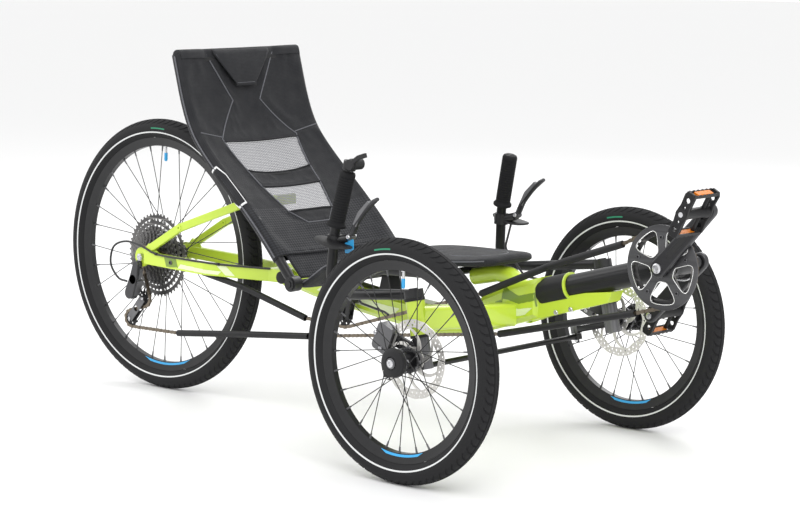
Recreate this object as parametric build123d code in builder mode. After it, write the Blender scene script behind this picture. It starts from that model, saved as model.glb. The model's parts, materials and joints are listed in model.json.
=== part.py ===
from build123d import *
from math import asin, atan2, cos, hypot, pi, radians, sin
import os

os.makedirs("parts", exist_ok=True)

# Recumbent tricycle with two steered front wheels and one driven rear wheel.
# +X points forward, +Y to the rider's left and +Z up. The floor is Z = 0, and the origin is
# the middle of the length and width, on the floor. All sizes are in millimetres.

# ---- wheels and overall layout
wheelbase = 1104.0
track = 755.0
front_tyre_radius = 247.0
rear_tyre_radius = 324.0
tyre_width = 47.0
tyre_wall = 3.0
bead_inset = 3.0
rim_depth = 20.0
rim_half_width = 12.5
rim_base_half_width = 7.0
rim_wall = 2.2
spoke_radius = 0.95
front_spokes = 28
rear_spokes = 32

# ---- boom, cranks and pedals
boom_slope = 14.8
boom_radius = 25.0
boom_wall = 2.5
boom_inside = 190.0
boom_travel_room = 30.0
bb_ahead = 399.0
bb_height = 441.0
bb_shell_radius = 21.0
bb_half_width = 36.0
crank_length = 170.0
crank_angle = 46.0
crank_inner_y = 62.0
crank_thickness = 14.0
crank_spindle_radius = 12.0
pedal_length = 96.0
pedal_width = 88.0
pedal_thickness = 22.0
pedal_tilt = 62.0
pedal_axle_radius = 5.0
chain_pitch = 12.7
chainring_teeth = 38
chain_line_y = -52.0
guard_radius = 84.0
spider_bore = 15.0

# ---- keel and cross arms
keel_width = 56.0
keel_chamfer = 10.0
boom_clearance = 0.05
caster_angle = 12.0
kingpin_y = 310.0
head_tube_radius = 19.5
head_tube_low = 46.0
head_tube_high = 114.0
kingpin_radius = 9.0
running_fit = 0.05
arm_height = 48.0
arm_depth = 40.0

# ---- front hubs and brakes
axle_radius = 8.5
hub_radius = 17.0
hub_inner_y = 343.0
hub_outer_y = 403.0
flange_radius = 26.0
flange_thickness = 3.2
flange_inner_y = 353.0
flange_outer_y = 391.0
rotor_y = 337.0
rotor_radius = 80.0
rotor_thickness = 1.9

# ---- steering and hand controls
bar_radius = 11.0
bar_bend = 40.0
grip_radius = 16.5
grip_length = 128.0
tie_behind = 95.0
tie_height = 203.0
tie_radius = 6.0
tie_pin_radius = 4.0

# ---- rear frame and drive
dropout_y = 67.5
stay_width = 12.0
eyelet_radius = 2.5
eyelet_length = 13.0
fold_pivot_behind_front = 654.0
fold_pivot_height = 317.0
pivot_pin_radius = 8.0
sprocket_count = 12
smallest_sprocket_radius = 24.0
largest_sprocket_radius = 101.0
cassette_outer_y = -59.0
sprocket_pitch = 3.3
sprocket_thickness = 1.6
idler_radius = 20.0
pulley_radius = 20.0
chain_half_height = 4.2
chain_inner_gap = 2.5
chain_plate = 1.1
chain_tube_radius = 7.5
chain_tube_bore = 5.7

# ---- seat
seat_tube_radius = 11.0
seat_tube_y = 183.0
seat_cover_half_width = 197.0
seat_cover_half_thickness = 14.0
seat_pivot_behind_front = 490.0
seat_pivot_height = 333.0
cloth_gap = 0.4

# ---- stations that follow from the sizes above
front_reach = bb_ahead + crank_length * cos(radians(crank_angle)) + pedal_length * 0.3
rear_axle_x = (rear_tyre_radius - wheelbase - front_reach) / 2
front_axle_x = rear_axle_x + wheelbase
bb_x = front_axle_x + bb_ahead
fold_x = front_axle_x - fold_pivot_behind_front
seat_pivot_x = front_axle_x - seat_pivot_behind_front
chainring_radius = chain_pitch / (2 * sin(pi / chainring_teeth))
boom_direction = Vector(cos(radians(boom_slope)), 0, sin(radians(boom_slope)))
kingpin_direction = Vector(-sin(radians(caster_angle)), 0, cos(radians(caster_angle)))
sides = {"right": -1, "left": 1}


def keep(builder, name):
    """Label a finished piece and write it."""
    builder.part.label = name
    export_step(builder.part, f"parts/{name}.step")


def at_front(dx, z):
    """A side-view point measured from the front axle's station."""
    return (front_axle_x + dx, z)


def at_rear(dx, z):
    """A side-view point measured from the rear axle's station."""
    return (rear_axle_x + dx, z)


def side_plane(y=0.0):
    """The side view at a given Y: local x is X, local y is Z."""
    return Plane(origin=(0, y, 0), x_dir=(1, 0, 0), z_dir=(0, -1, 0))


def along(start, end):
    """A plane at start whose normal points to end."""
    return Plane(origin=start, z_dir=Vector(*end) - Vector(*start))


def cross_plane(start, end):
    """Like along, with local x held level, for flat bars."""
    direction = Vector(*end) - Vector(*start)
    level = Vector(0, 0, 1).cross(direction)
    return Plane(origin=start, x_dir=level, z_dir=direction)


def rod(start, end, radius, mode=Mode.ADD):
    """A round bar between two points, added to the part being built."""
    with BuildSketch(along(start, end)) as section:
        Circle(radius)
    extrude(section.sketch, amount=(Vector(*end) - Vector(*start)).length, mode=mode)


def flat_bar(start, end, width, height):
    """A flat bar between two points, width level and height upright."""
    with BuildSketch(cross_plane(start, end)) as section:
        RectangleRounded(width, height, min(width, height) * 0.2)
    extrude(section.sketch, amount=(Vector(*end) - Vector(*start)).length)


def swept(points, radius, bend, bore=0.0, mode=Mode.ADD):
    """A round tube along points, with every corner rounded by bend."""
    with BuildLine() as route:
        FilletPolyline(*points, radius=bend)
    with BuildSketch(Plane(origin=route.line @ 0, z_dir=route.line % 0)) as section:
        Circle(radius)
        if bore:
            Circle(bore, mode=Mode.SUBTRACT)
    sweep(section.sketch, path=route.wire(), mode=mode)


def belt_line(start, start_radius, end, end_radius):
    """The run from one pulley to the next, seen from the side with X to the right.

    A positive radius turns the belt anticlockwise and a negative one clockwise.
    """
    dx = end[0] - start[0]
    dz = end[1] - start[1]
    heading = atan2(dz, dx) - asin((end_radius - start_radius) / hypot(dx, dz))
    right = (sin(heading), -cos(heading))
    first = (start[0] + start_radius * right[0], start[1] + start_radius * right[1])
    last = (end[0] + end_radius * right[0], end[1] + end_radius * right[1])
    return first, last


def wrap(centre, radius, arrive, leave):
    """The arc that a belt follows round a pulley, with radius signed as in belt_line."""
    first = atan2(arrive[1] - centre[1], arrive[0] - centre[0])
    last = atan2(leave[1] - centre[1], leave[0] - centre[0])
    turn = (last - first) % (2 * pi) if radius > 0 else -((first - last) % (2 * pi))
    middle = first + turn / 2
    reach = abs(radius)
    ThreePointArc(arrive, (centre[0] + reach * cos(middle), centre[1] + reach * sin(middle)), leave)


def kingpin_centre(side):
    """The point of a kingpin that is level with the front axle."""
    return Vector(front_axle_x, side * kingpin_y, front_tyre_radius)


def on_kingpin(side, distance):
    """The plane across a kingpin at a distance above the axle's level."""
    centre = kingpin_centre(side) + kingpin_direction * distance
    return Plane(origin=centre, x_dir=(0, 1, 0), z_dir=kingpin_direction)


def height_on(outline, dx):
    """The height of a side-view outline at dx, by straight lines between its points."""
    points = sorted(outline)
    for (x0, z0), (x1, z1) in zip(points, points[1:]):
        if x0 <= dx <= x1:
            return z0 + (z1 - z0) * (dx - x0) / (x1 - x0)
    raise ValueError("outside the outline")


# ================================================================ wheels


def wheel_plane(x, z):
    """Radial section plane of a wheel: local x is outward radius, local y is +Y."""
    return Plane(origin=(x, 0, z), x_dir=(1, 0, 0), z_dir=(0, 0, 1))


def make_tyre(name, centre, tyre_radius):
    """A hollow tyre whose beads sit on the rim's edges."""
    x, y, z = centre
    section_radius = tyre_width / 2
    seat = tyre_radius - tyre_width + bead_inset
    with BuildPart() as tyre:
        with BuildSketch(wheel_plane(x, z)):
            with Locations((tyre_radius - section_radius, y)):
                Circle(section_radius)
                Circle(section_radius - tyre_wall, mode=Mode.SUBTRACT)
            with Locations((seat - tyre_width / 2, y)):
                Rectangle(tyre_width + 0.4, tyre_width, mode=Mode.SUBTRACT)
        revolve(axis=Axis((x, 0, z), (0, 1, 0)))
    keep(tyre, name)


def make_rim(name, centre, tyre_radius):
    """A tapered hollow rim, open towards the tyre."""
    x, y, z = centre
    edge = tyre_radius - tyre_width + bead_inset
    base = edge - rim_depth
    with BuildPart() as rim:
        with BuildSketch(wheel_plane(x, z)):
            with BuildLine():
                Polyline(
                    (edge, y - rim_half_width),
                    (edge, y - rim_half_width + rim_wall),
                    (base + rim_wall, y - rim_base_half_width + rim_wall),
                    (base + rim_wall, y + rim_base_half_width - rim_wall),
                    (edge, y + rim_half_width - rim_wall),
                    (edge, y + rim_half_width),
                    (base, y + rim_base_half_width),
                    (base, y - rim_base_half_width),
                    close=True,
                )
            make_face()
        revolve(axis=Axis((x, 0, z), (0, 1, 0)))
    keep(rim, name)


def make_spokes(name, centre, tyre_radius, flanges, hub_flange_radius, count):
    """Tangent spokes, alternately leading and trailing, from two flanges to the rim."""
    x, y, z = centre
    rim_reach = tyre_radius - tyre_width + bead_inset - rim_depth - 0.2
    start_reach = hub_flange_radius + 0.2
    crossing = 360 / count * 2.5
    with BuildPart() as spokes:
        for index in range(count):
            flange_y = flanges[index % 2]
            leading = 1 if index % 4 < 2 else -1
            rim_angle = radians(index * 360 / count)
            hub_angle = rim_angle + leading * radians(crossing + 20)
            outward = 1 if flange_y > y else -1
            hub_point = (
                x + start_reach * cos(hub_angle),
                flange_y + leading * 3.0,
                z + start_reach * sin(hub_angle),
            )
            rim_point = (
                x + rim_reach * cos(rim_angle),
                y + outward * 3.0,
                z + rim_reach * sin(rim_angle),
            )
            rod(hub_point, rim_point, spoke_radius)
    keep(spokes, name)


# ---- front wheels
for side_name, side in sides.items():
    wheel_centre = (front_axle_x, side * track / 2, front_tyre_radius)
    make_tyre(f"tyre_front_{side_name}", wheel_centre, front_tyre_radius)
    make_rim(f"rim_front_{side_name}", wheel_centre, front_tyre_radius)
    inner_flange_y = side * (flange_inner_y + flange_thickness / 2)
    outer_flange_y = side * (flange_outer_y - flange_thickness / 2)
    make_spokes(
        f"spokes_front_{side_name}",
        wheel_centre,
        front_tyre_radius,
        (inner_flange_y, outer_flange_y),
        flange_radius,
        front_spokes,
    )
    axle_plane = Plane(origin=(front_axle_x, 0, front_tyre_radius), x_dir=(1, 0, 0), z_dir=(0, side, 0))

    with BuildPart() as hub:
        with BuildSketch(axle_plane.offset(hub_inner_y)):
            Circle(hub_radius)
        extrude(amount=hub_outer_y - hub_inner_y)
        for flange_start in (flange_inner_y, flange_outer_y - flange_thickness):
            with BuildSketch(axle_plane.offset(flange_start)):
                Circle(flange_radius)
            extrude(amount=flange_thickness)
        with BuildSketch(axle_plane.offset(rotor_y + rotor_thickness / 2 + 0.05)):
            Circle(hub_radius + 4)
        extrude(amount=hub_inner_y - rotor_y)
        with BuildSketch(axle_plane.offset(rotor_y - 4)):
            Circle(axle_radius + running_fit)
        extrude(amount=hub_outer_y - rotor_y + 10, mode=Mode.SUBTRACT)
        outer_edges = hub.edges().filter_by(GeomType.CIRCLE).group_by(Axis.Y)[-1 if side > 0 else 0]
        fillet(outer_edges.sort_by(SortBy.RADIUS)[-1], 2.0)
    keep(hub, f"hub_front_{side_name}")

    with BuildPart() as rotor:
        with BuildSketch(axle_plane.offset(rotor_y - rotor_thickness / 2)):
            Circle(rotor_radius)
            Circle(rotor_radius - 17, mode=Mode.SUBTRACT)
            Circle(hub_radius + 8)
            Circle(axle_radius + 3, mode=Mode.SUBTRACT)
            with PolarLocations(0, 6):
                with Locations((rotor_radius / 2 + 2, 0)):
                    Rectangle(rotor_radius - 30, 9, rotation=24)
            with PolarLocations(rotor_radius - 6, 30):
                Circle(2.6, mode=Mode.SUBTRACT)
            with PolarLocations(rotor_radius - 12.5, 30, start_angle=6):
                Circle(2.2, mode=Mode.SUBTRACT)
            Circle(axle_radius + 3, mode=Mode.SUBTRACT)
        extrude(amount=rotor_thickness)
    keep(rotor, f"rotor_{side_name}")

# ---- rear wheel
rear_centre = (rear_axle_x, 0, rear_tyre_radius)
rear_flange_radius = 28.0
rear_flange_left = 33.0
rear_flange_right = -14.0
make_tyre("tyre_rear", rear_centre, rear_tyre_radius)
make_rim("rim_rear", rear_centre, rear_tyre_radius)
make_spokes(
    "spokes_rear",
    rear_centre,
    rear_tyre_radius,
    (rear_flange_right, rear_flange_left),
    rear_flange_radius,
    rear_spokes,
)
rear_axle_plane = Plane(origin=(rear_axle_x, 0, rear_tyre_radius), x_dir=(1, 0, 0), z_dir=(0, 1, 0))
cassette_inner_y = cassette_outer_y + sprocket_pitch * (sprocket_count - 1)

with BuildPart() as hub_rear:
    with BuildSketch(rear_axle_plane.offset(cassette_inner_y + 3.5)):
        Circle(16)
    extrude(amount=dropout_y - 8 - cassette_inner_y - 3.5)
    for flange_y in (rear_flange_left, rear_flange_right):
        with BuildSketch(rear_axle_plane.offset(flange_y - flange_thickness / 2)):
            Circle(rear_flange_radius)
        extrude(amount=flange_thickness)
    with BuildSketch(rear_axle_plane.offset(-dropout_y)):
        Circle(5 + running_fit)
    extrude(amount=2 * dropout_y, mode=Mode.SUBTRACT)
keep(hub_rear, "hub_rear")

with BuildPart() as cassette:
    with BuildSketch(rear_axle_plane.offset(cassette_outer_y - 3)):
        Circle(17)
    extrude(amount=sprocket_pitch * (sprocket_count - 1) + 6)
    for index in range(sprocket_count):
        share = index / (sprocket_count - 1)
        growth = largest_sprocket_radius - smallest_sprocket_radius
        sprocket_radius = smallest_sprocket_radius + growth * share**1.35
        with BuildSketch(rear_axle_plane.offset(cassette_outer_y + index * sprocket_pitch)):
            Circle(sprocket_radius)
            if sprocket_radius > 52:
                Circle(sprocket_radius - 13, mode=Mode.SUBTRACT)
                with PolarLocations(0, 6):
                    with Locations((sprocket_radius / 2, 0)):
                        Rectangle(sprocket_radius - 8, 8, rotation=14)
        extrude(amount=sprocket_thickness)
    with BuildSketch(rear_axle_plane.offset(cassette_outer_y - 4)):
        Circle(5 + running_fit)
    extrude(amount=sprocket_pitch * sprocket_count + 10, mode=Mode.SUBTRACT)
keep(cassette, "cassette")

with BuildPart() as rear_axle:
    with BuildSketch(rear_axle_plane.offset(-dropout_y - 14)):
        Circle(5)
    extrude(amount=2 * dropout_y + 28)
    for start in (-dropout_y - 13.5, dropout_y + 6.2):
        with BuildSketch(rear_axle_plane.offset(start)):
            RegularPolygon(9.5, 6)
        extrude(amount=7)
    for start, end in ((-dropout_y - 0.3, cassette_outer_y - 3.3), (dropout_y - 7.7, dropout_y + 0.3)):
        with BuildSketch(rear_axle_plane.offset(start)):
            Circle(9)
        extrude(amount=end - start)
keep(rear_axle, "rear_axle")

# ================================================================ main frame

frame_wall = 3.5
keel_lower = [(-690, 300), (-590, 278), (-376, 248), (-213, 232), (-131, 241), (-49, 265), (60, 299)]
keel_upper = [(64, 385), (-30, 357), (-131, 312), (-213, 294), (-376, 306), (-590, 334), (-676, 344)]
tongue = [(40, 292), (111, 313), (238, 350), (248, 373), (180, 364), (40, 330)]
strut_radius = 18.0
strut_end = -130.0
bb_point = Vector(bb_x, 0, bb_height)
boom_plane = Plane(origin=bb_point, x_dir=(0, 1, 0), z_dir=-boom_direction)
receiver_ahead = 64.0

with BuildPart() as keel:
    with BuildSketch(side_plane()):
        with BuildLine():
            Polyline(*[at_front(dx, z) for dx, z in keel_lower + keel_upper], close=True)
        make_face()
    extrude(amount=keel_width / 2, both=True)
    chamfer(keel.faces().filter_by(Axis.Y).edges(), keel_chamfer)
    # The beam is hollow behind the boom.
    hollow_lower = [(dx, height_on(keel_lower, dx) + frame_wall + 1) for dx in (-660, -590, -376, -213, -150)]
    hollow_upper = [(dx, height_on(keel_upper, dx) - frame_wall - 1) for dx in (-150, -213, -376, -590, -660)]
    with BuildSketch(side_plane()):
        with BuildLine():
            Polyline(*[at_front(dx, z) for dx, z in hollow_lower + hollow_upper], close=True)
        make_face()
    extrude(amount=keel_width / 2 - keel_chamfer - 1, both=True, mode=Mode.SUBTRACT)
    with BuildSketch(side_plane()):
        with BuildLine():
            Polyline(*[at_front(dx, z) for dx, z in tongue], close=True)
        make_face()
    extrude(amount=20, both=True)
    # Curved tube that carries the nose of the seat.
    strut_points = [(16, 346), (-30, 377), (-66, 379), (strut_end, 366)]
    swept([(front_axle_x + dx, 0, z) for dx, z in strut_points], strut_radius, 30)
    # Bore for the sliding boom, with a split above it.
    with BuildSketch(boom_plane):
        Circle(boom_radius + boom_clearance)
    extrude(amount=bb_ahead + boom_inside, mode=Mode.SUBTRACT)
    # Cross bore for the rear frame's pivot pin.
    with Locations(Location((fold_x, 0, fold_pivot_height), (90, 0, 0))):
        Hole(pivot_pin_radius + running_fit, keel_width)
keep(keel, "keel")

arm_root_z = 300.0
with BuildPart() as cross_arms:
    for side in sides.values():
        wheel_point = kingpin_centre(side)
        middle = wheel_point + kingpin_direction * ((head_tube_low + head_tube_high) / 2)
        root = (middle.X + 4, side * (keel_width / 2 - 4), arm_root_z)
        tip = (middle.X, middle.Y, middle.Z)
        flat_bar(root, tip, arm_depth, arm_height)
        with BuildSketch(cross_plane(root, tip)):
            Rectangle(arm_depth - 2 * frame_wall, arm_height - 2 * frame_wall)
        extrude(amount=kingpin_y - keel_width / 2 - head_tube_radius - 6, mode=Mode.SUBTRACT)
        with BuildSketch(on_kingpin(side, head_tube_low)):
            Circle(head_tube_radius)
        extrude(amount=head_tube_high - head_tube_low)
        with BuildSketch(on_kingpin(side, head_tube_low)):
            Circle(kingpin_radius + running_fit)
        extrude(amount=head_tube_high - head_tube_low, mode=Mode.SUBTRACT)
    with BuildSketch(side_plane()):
        with Locations((front_axle_x, arm_root_z)):
            Rectangle(arm_depth * 4, arm_height * 4)
    extrude(amount=keel_width / 2 + 0.02, both=True, mode=Mode.SUBTRACT)
keep(cross_arms, "cross_arms")

with BuildPart() as fold_pin:
    with BuildSketch(side_plane(0)):
        with Locations((fold_x, fold_pivot_height)):
            Circle(pivot_pin_radius)
    extrude(amount=52, both=True)
    for y in (-54.5, 54.5):
        with BuildSketch(side_plane(y)):
            with Locations((fold_x, fold_pivot_height)):
                Circle(13)
        extrude(amount=2.5, both=True)
keep(fold_pin, "fold_pin")

# ================================================================ boom and cranks

with BuildPart() as boom:
    with BuildSketch(boom_plane):
        Circle(boom_radius)
    extrude(amount=(bb_ahead - receiver_ahead) / cos(radians(boom_slope)) + boom_inside - boom_travel_room)
    with BuildSketch(boom_plane.offset(bb_shell_radius + 4)):
        Circle(boom_radius - boom_wall)
    extrude(amount=bb_ahead + boom_inside, mode=Mode.SUBTRACT)
    with BuildSketch(side_plane()):
        with Locations((bb_x, bb_height)):
            Circle(bb_shell_radius)
    extrude(amount=bb_half_width, both=True)
    with BuildSketch(side_plane()):
        with Locations((bb_x, bb_height)):
            Circle(crank_spindle_radius + running_fit)
    extrude(amount=bb_half_width + 20, both=True, mode=Mode.SUBTRACT)
keep(boom, "boom")

pedal_points = {}
for side_name, side in sides.items():
    angle = radians(crank_angle if side < 0 else crank_angle + 180)
    pedal_points[side_name] = (bb_x + crank_length * cos(angle), bb_height + crank_length * sin(angle))

for side_name, side in sides.items():
    pedal_x, pedal_z = pedal_points[side_name]
    crank_middle = side * (crank_inner_y + crank_thickness / 2)
    with BuildPart() as crank:
        with BuildSketch(side_plane(crank_middle)):
            with BuildLine():
                Line((bb_x, bb_height), (pedal_x, pedal_z))
            trace(line_width=30)
            with Locations((bb_x, bb_height)):
                Circle(19)
        extrude(amount=crank_thickness / 2, both=True)
        if side < 0:
            # The drive-side arm carries the spindle.
            with BuildSketch(side_plane(0)):
                with Locations((bb_x, bb_height)):
                    Circle(crank_spindle_radius)
            extrude(amount=crank_inner_y - 0.1, both=True)
            with BuildSketch(side_plane(-crank_inner_y + 1)):
                with Locations((bb_x, bb_height)):
                    Circle(spider_bore - running_fit)
            extrude(amount=12, both=True)
        with BuildSketch(side_plane(crank_middle)):
            with Locations((pedal_x, pedal_z)):
                Circle(pedal_axle_radius)
        extrude(amount=crank_thickness, both=True, mode=Mode.SUBTRACT)
    keep(crank, f"crank_{side_name}")

with BuildPart() as pedal_axles:
    for side_name, side in sides.items():
        pedal_x, pedal_z = pedal_points[side_name]
        axle_plane = Plane(origin=(pedal_x, side * crank_inner_y, pedal_z), x_dir=(1, 0, 0), z_dir=(0, side, 0))
        with BuildSketch(axle_plane):
            Circle(pedal_axle_radius)
        extrude(amount=crank_thickness + 3 + pedal_width)
        with BuildSketch(axle_plane.offset(crank_thickness)):
            Circle(pedal_axle_radius + 3)
        extrude(amount=2.5)
keep(pedal_axles, "pedal_axles")

for side_name, side in sides.items():
    pedal_x, pedal_z = pedal_points[side_name]
    inner_y = crank_inner_y + crank_thickness + 3
    middle_y = side * (inner_y + pedal_width / 2)
    pedal_frame = Plane(
        origin=(pedal_x, middle_y, pedal_z),
        x_dir=(0, 1, 0),
        z_dir=(-sin(radians(pedal_tilt)), 0, cos(radians(pedal_tilt))),
    )
    with BuildPart() as pedal:
        with BuildSketch(pedal_frame):
            RectangleRounded(pedal_width, pedal_length, 16)
            with GridLocations(0, pedal_length * 0.54, 1, 2):
                RectangleRounded(pedal_width - 26, pedal_length * 0.26, 6, mode=Mode.SUBTRACT)
        extrude(amount=pedal_thickness / 2, both=True)
        with BuildSketch(side_plane(middle_y)):
            with Locations((pedal_x, pedal_z)):
                Circle(pedal_thickness * 0.62)
        extrude(amount=pedal_width / 2, both=True)
        with BuildSketch(side_plane(middle_y)):
            with Locations((pedal_x, pedal_z)):
                Circle(pedal_axle_radius + running_fit)
        extrude(amount=pedal_width, both=True, mode=Mode.SUBTRACT)
    keep(pedal, f"pedal_{side_name}")

with BuildPart() as chainring:
    with BuildSketch(side_plane(chain_line_y)):
        with Locations((bb_x, bb_height)):
            Circle(chainring_radius - 3.5)
            with PolarLocations(chainring_radius - 2, chainring_teeth):
                Rectangle(9, 4.2)
            Circle(chainring_radius - 15, mode=Mode.SUBTRACT)
            with PolarLocations(38, 5, start_angle=20):
                Rectangle(54, 15)
            Circle(26)
            Circle(spider_bore, mode=Mode.SUBTRACT)
    extrude(amount=1.0, both=True)
keep(chainring, "chainring")

with BuildPart() as chain_guard:
    with BuildSketch(side_plane(chain_line_y - 6)):
        with Locations((bb_x, bb_height)):
            Circle(guard_radius)
            with PolarLocations(49, 5, start_angle=56):
                Ellipse(19, 23, mode=Mode.SUBTRACT)
            Circle(17.0, mode=Mode.SUBTRACT)
    extrude(amount=1.5, both=True)
    # Spacers that bolt the guard and the chainring to the same arms.
    with BuildSketch(side_plane(chain_line_y - 1)):
        with Locations((bb_x, bb_height)):
            with PolarLocations(chainring_radius - 19, 5, start_angle=20):
                Circle(4.5)
    extrude(amount=4.0)
keep(chain_guard, "chain_guard")

# ================================================================ chain, tubes and idler

upper_front = [at_front(298, 478), at_front(108, 414), at_front(-68, 341)]
lower_front = [at_front(331, 343), at_front(140, 298), at_front(-18, 261)]
upper_rear = [at_front(-579, 233), at_rear(326, 283), at_rear(193, 304)]
lower_rear = [at_front(-570, 193), at_rear(320, 173), at_rear(106, 151)]
idler_centre = at_front(-458, 246)
idler_y = chain_line_y - 1.5
guide_centre = at_rear(-12, 222)
tension_centre = at_rear(-59, 169)
used_sprocket_radius = smallest_sprocket_radius
drive_line_y = cassette_outer_y + sprocket_pitch + sprocket_thickness / 2
tube_gap = 1.0


def chain_run(plane_y, draw, pins):
    """Two rows of side plates along a drawn path, held together by pins."""
    plate_y = chain_inner_gap / 2 + chain_plate / 2
    for shift in (-plate_y, plate_y):
        with BuildSketch(side_plane(plane_y + shift)) as band:
            with BuildLine():
                draw()
                offset(amount=chain_half_height, side=Side.BOTH)
            make_face()
        extrude(band.sketch, amount=chain_plate / 2, both=True)
    for point in pins:
        with BuildSketch(side_plane(plane_y)) as pin:
            with Locations(point):
                Circle(3.2)
        extrude(pin.sketch, amount=plate_y, both=True)


def between(first, last, share):
    """The point a share of the way from first to last."""
    return (first[0] + (last[0] - first[0]) * share, first[1] + (last[1] - first[1]) * share)


ring = (bb_x, bb_height)
upper_arrive = belt_line(upper_front[0], 0, ring, -chainring_radius)[1]
lower_leave = belt_line(ring, -chainring_radius, lower_front[0], 0)[0]


def draw_front_chain():
    FilletPolyline(upper_front[2], upper_front[1], upper_front[0], upper_arrive, radius=160)
    wrap(ring, -chainring_radius, upper_arrive, lower_leave)
    FilletPolyline(lower_leave, lower_front[0], lower_front[1], lower_front[2], radius=160)


with BuildPart() as chain_front:
    pins = [between(points[0], points[1], 0.5) for points in (upper_front, lower_front)]
    pins += [between(points[1], points[2], 0.97) for points in (upper_front, lower_front)]
    chain_run(chain_line_y, draw_front_chain, pins)
keep(chain_front, "chain_front")

with BuildPart() as chain_tubes_front:
    for points in (upper_front, lower_front):
        swept([(x, chain_line_y, z) for x, z in points], chain_tube_radius, 160, chain_tube_bore)
keep(chain_tubes_front, "chain_tubes_front")

idler_arrive = belt_line(upper_front[2], 0, idler_centre, -idler_radius)[1]
idler_leave = belt_line(idler_centre, -idler_radius, upper_rear[0], 0)[0]


def draw_power_run():
    clear = (chain_half_height + tube_gap) / hypot(
        upper_front[2][0] - idler_arrive[0], upper_front[2][1] - idler_arrive[1]
    )
    Line(between(upper_front[2], idler_arrive, clear), idler_arrive)
    wrap(idler_centre, -idler_radius, idler_arrive, idler_leave)
    length = hypot(upper_rear[0][0] - idler_leave[0], upper_rear[0][1] - idler_leave[1])
    Line(idler_leave, between(upper_rear[0], idler_leave, (chain_half_height + tube_gap) / length))


def draw_return_run():
    length = hypot(lower_front[2][0] - lower_rear[0][0], lower_front[2][1] - lower_rear[0][1])
    share = (chain_half_height + tube_gap) / length
    Line(between(lower_front[2], lower_rear[0], share), between(lower_rear[0], lower_front[2], share))


with BuildPart() as chain_middle:
    chain_run(idler_y, draw_power_run, [between(upper_front[2], idler_arrive, share) for share in (0.1, 0.9)])
    chain_run(idler_y, draw_return_run, [between(lower_front[2], lower_rear[0], share) for share in (0.1, 0.9)])
keep(chain_middle, "chain_middle")

cog = (rear_axle_x, rear_tyre_radius)
cog_arrive = belt_line(upper_rear[2], 0, cog, used_sprocket_radius)[1]
cog_leave, guide_arrive = belt_line(cog, used_sprocket_radius, guide_centre, -pulley_radius)
guide_leave, tension_arrive = belt_line(guide_centre, -pulley_radius, tension_centre, pulley_radius)
tension_leave = belt_line(tension_centre, pulley_radius, lower_rear[2], 0)[0]


def draw_rear_chain():
    FilletPolyline(upper_rear[0], upper_rear[1], upper_rear[2], cog_arrive, radius=160)
    wrap(cog, used_sprocket_radius, cog_arrive, cog_leave)
    Line(cog_leave, guide_arrive)
    wrap(guide_centre, -pulley_radius, guide_arrive, guide_leave)
    Line(guide_leave, tension_arrive)
    wrap(tension_centre, pulley_radius, tension_arrive, tension_leave)
    FilletPolyline(tension_leave, lower_rear[2], lower_rear[1], lower_rear[0], radius=160)


with BuildPart() as chain_rear:
    pins = [between(points[0], points[1], 0.03) for points in (upper_rear, lower_rear)]
    pins += [between(points[1], points[2], 0.5) for points in (upper_rear, lower_rear)]
    chain_run(drive_line_y, draw_rear_chain, pins)
keep(chain_rear, "chain_rear")

with BuildPart() as chain_tubes_rear:
    for points in (upper_rear, lower_rear):
        swept([(x, drive_line_y, z) for x, z in points], chain_tube_radius, 160, chain_tube_bore)
keep(chain_tubes_rear, "chain_tubes_rear")

idler_plate_gap = 5.0
idler_bolt_radius = 4.0
with BuildPart() as idler_wheel:
    with BuildSketch(side_plane(idler_y)):
        with Locations(idler_centre):
            Circle(idler_radius)
            Circle(idler_bolt_radius + running_fit, mode=Mode.SUBTRACT)
    extrude(amount=1.05, both=True)
    with BuildSketch(side_plane(idler_y)):
        with Locations(idler_centre):
            Circle(11)
            Circle(idler_bolt_radius + running_fit, mode=Mode.SUBTRACT)
    extrude(amount=4.0, both=True)
keep(idler_wheel, "idler_wheel")

with BuildPart() as idler_bracket:
    for shift in (-idler_plate_gap - 1.5, idler_plate_gap + 1.5):
        with BuildSketch(side_plane(idler_y + shift)):
            with BuildLine():
                Line(idler_centre, (idler_centre[0] + 8, idler_centre[1] + 38))
            trace(line_width=30)
            with Locations((idler_centre[0] + 4, idler_centre[1] + 20)):
                SlotOverall(20, 8, rotation=78, mode=Mode.SUBTRACT)
        extrude(amount=1.5, both=True)
    with BuildSketch(side_plane(idler_y)):
        with Locations(idler_centre):
            Circle(idler_bolt_radius)
    extrude(amount=idler_plate_gap + 6, both=True)
    # The plates hang from a bar that is bolted to the keel's side.
    bar_x, bar_z = idler_centre[0] + 6, idler_centre[1] + 44
    with BuildSketch(side_plane(-keel_width / 2 - 0.05)):
        with Locations((bar_x, bar_z)):
            RectangleRounded(34, 20, 5)
    extrude(amount=-idler_y - keel_width / 2 + idler_plate_gap + 3)
keep(idler_bracket, "idler_bracket")

# ================================================================ rear frame

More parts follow.
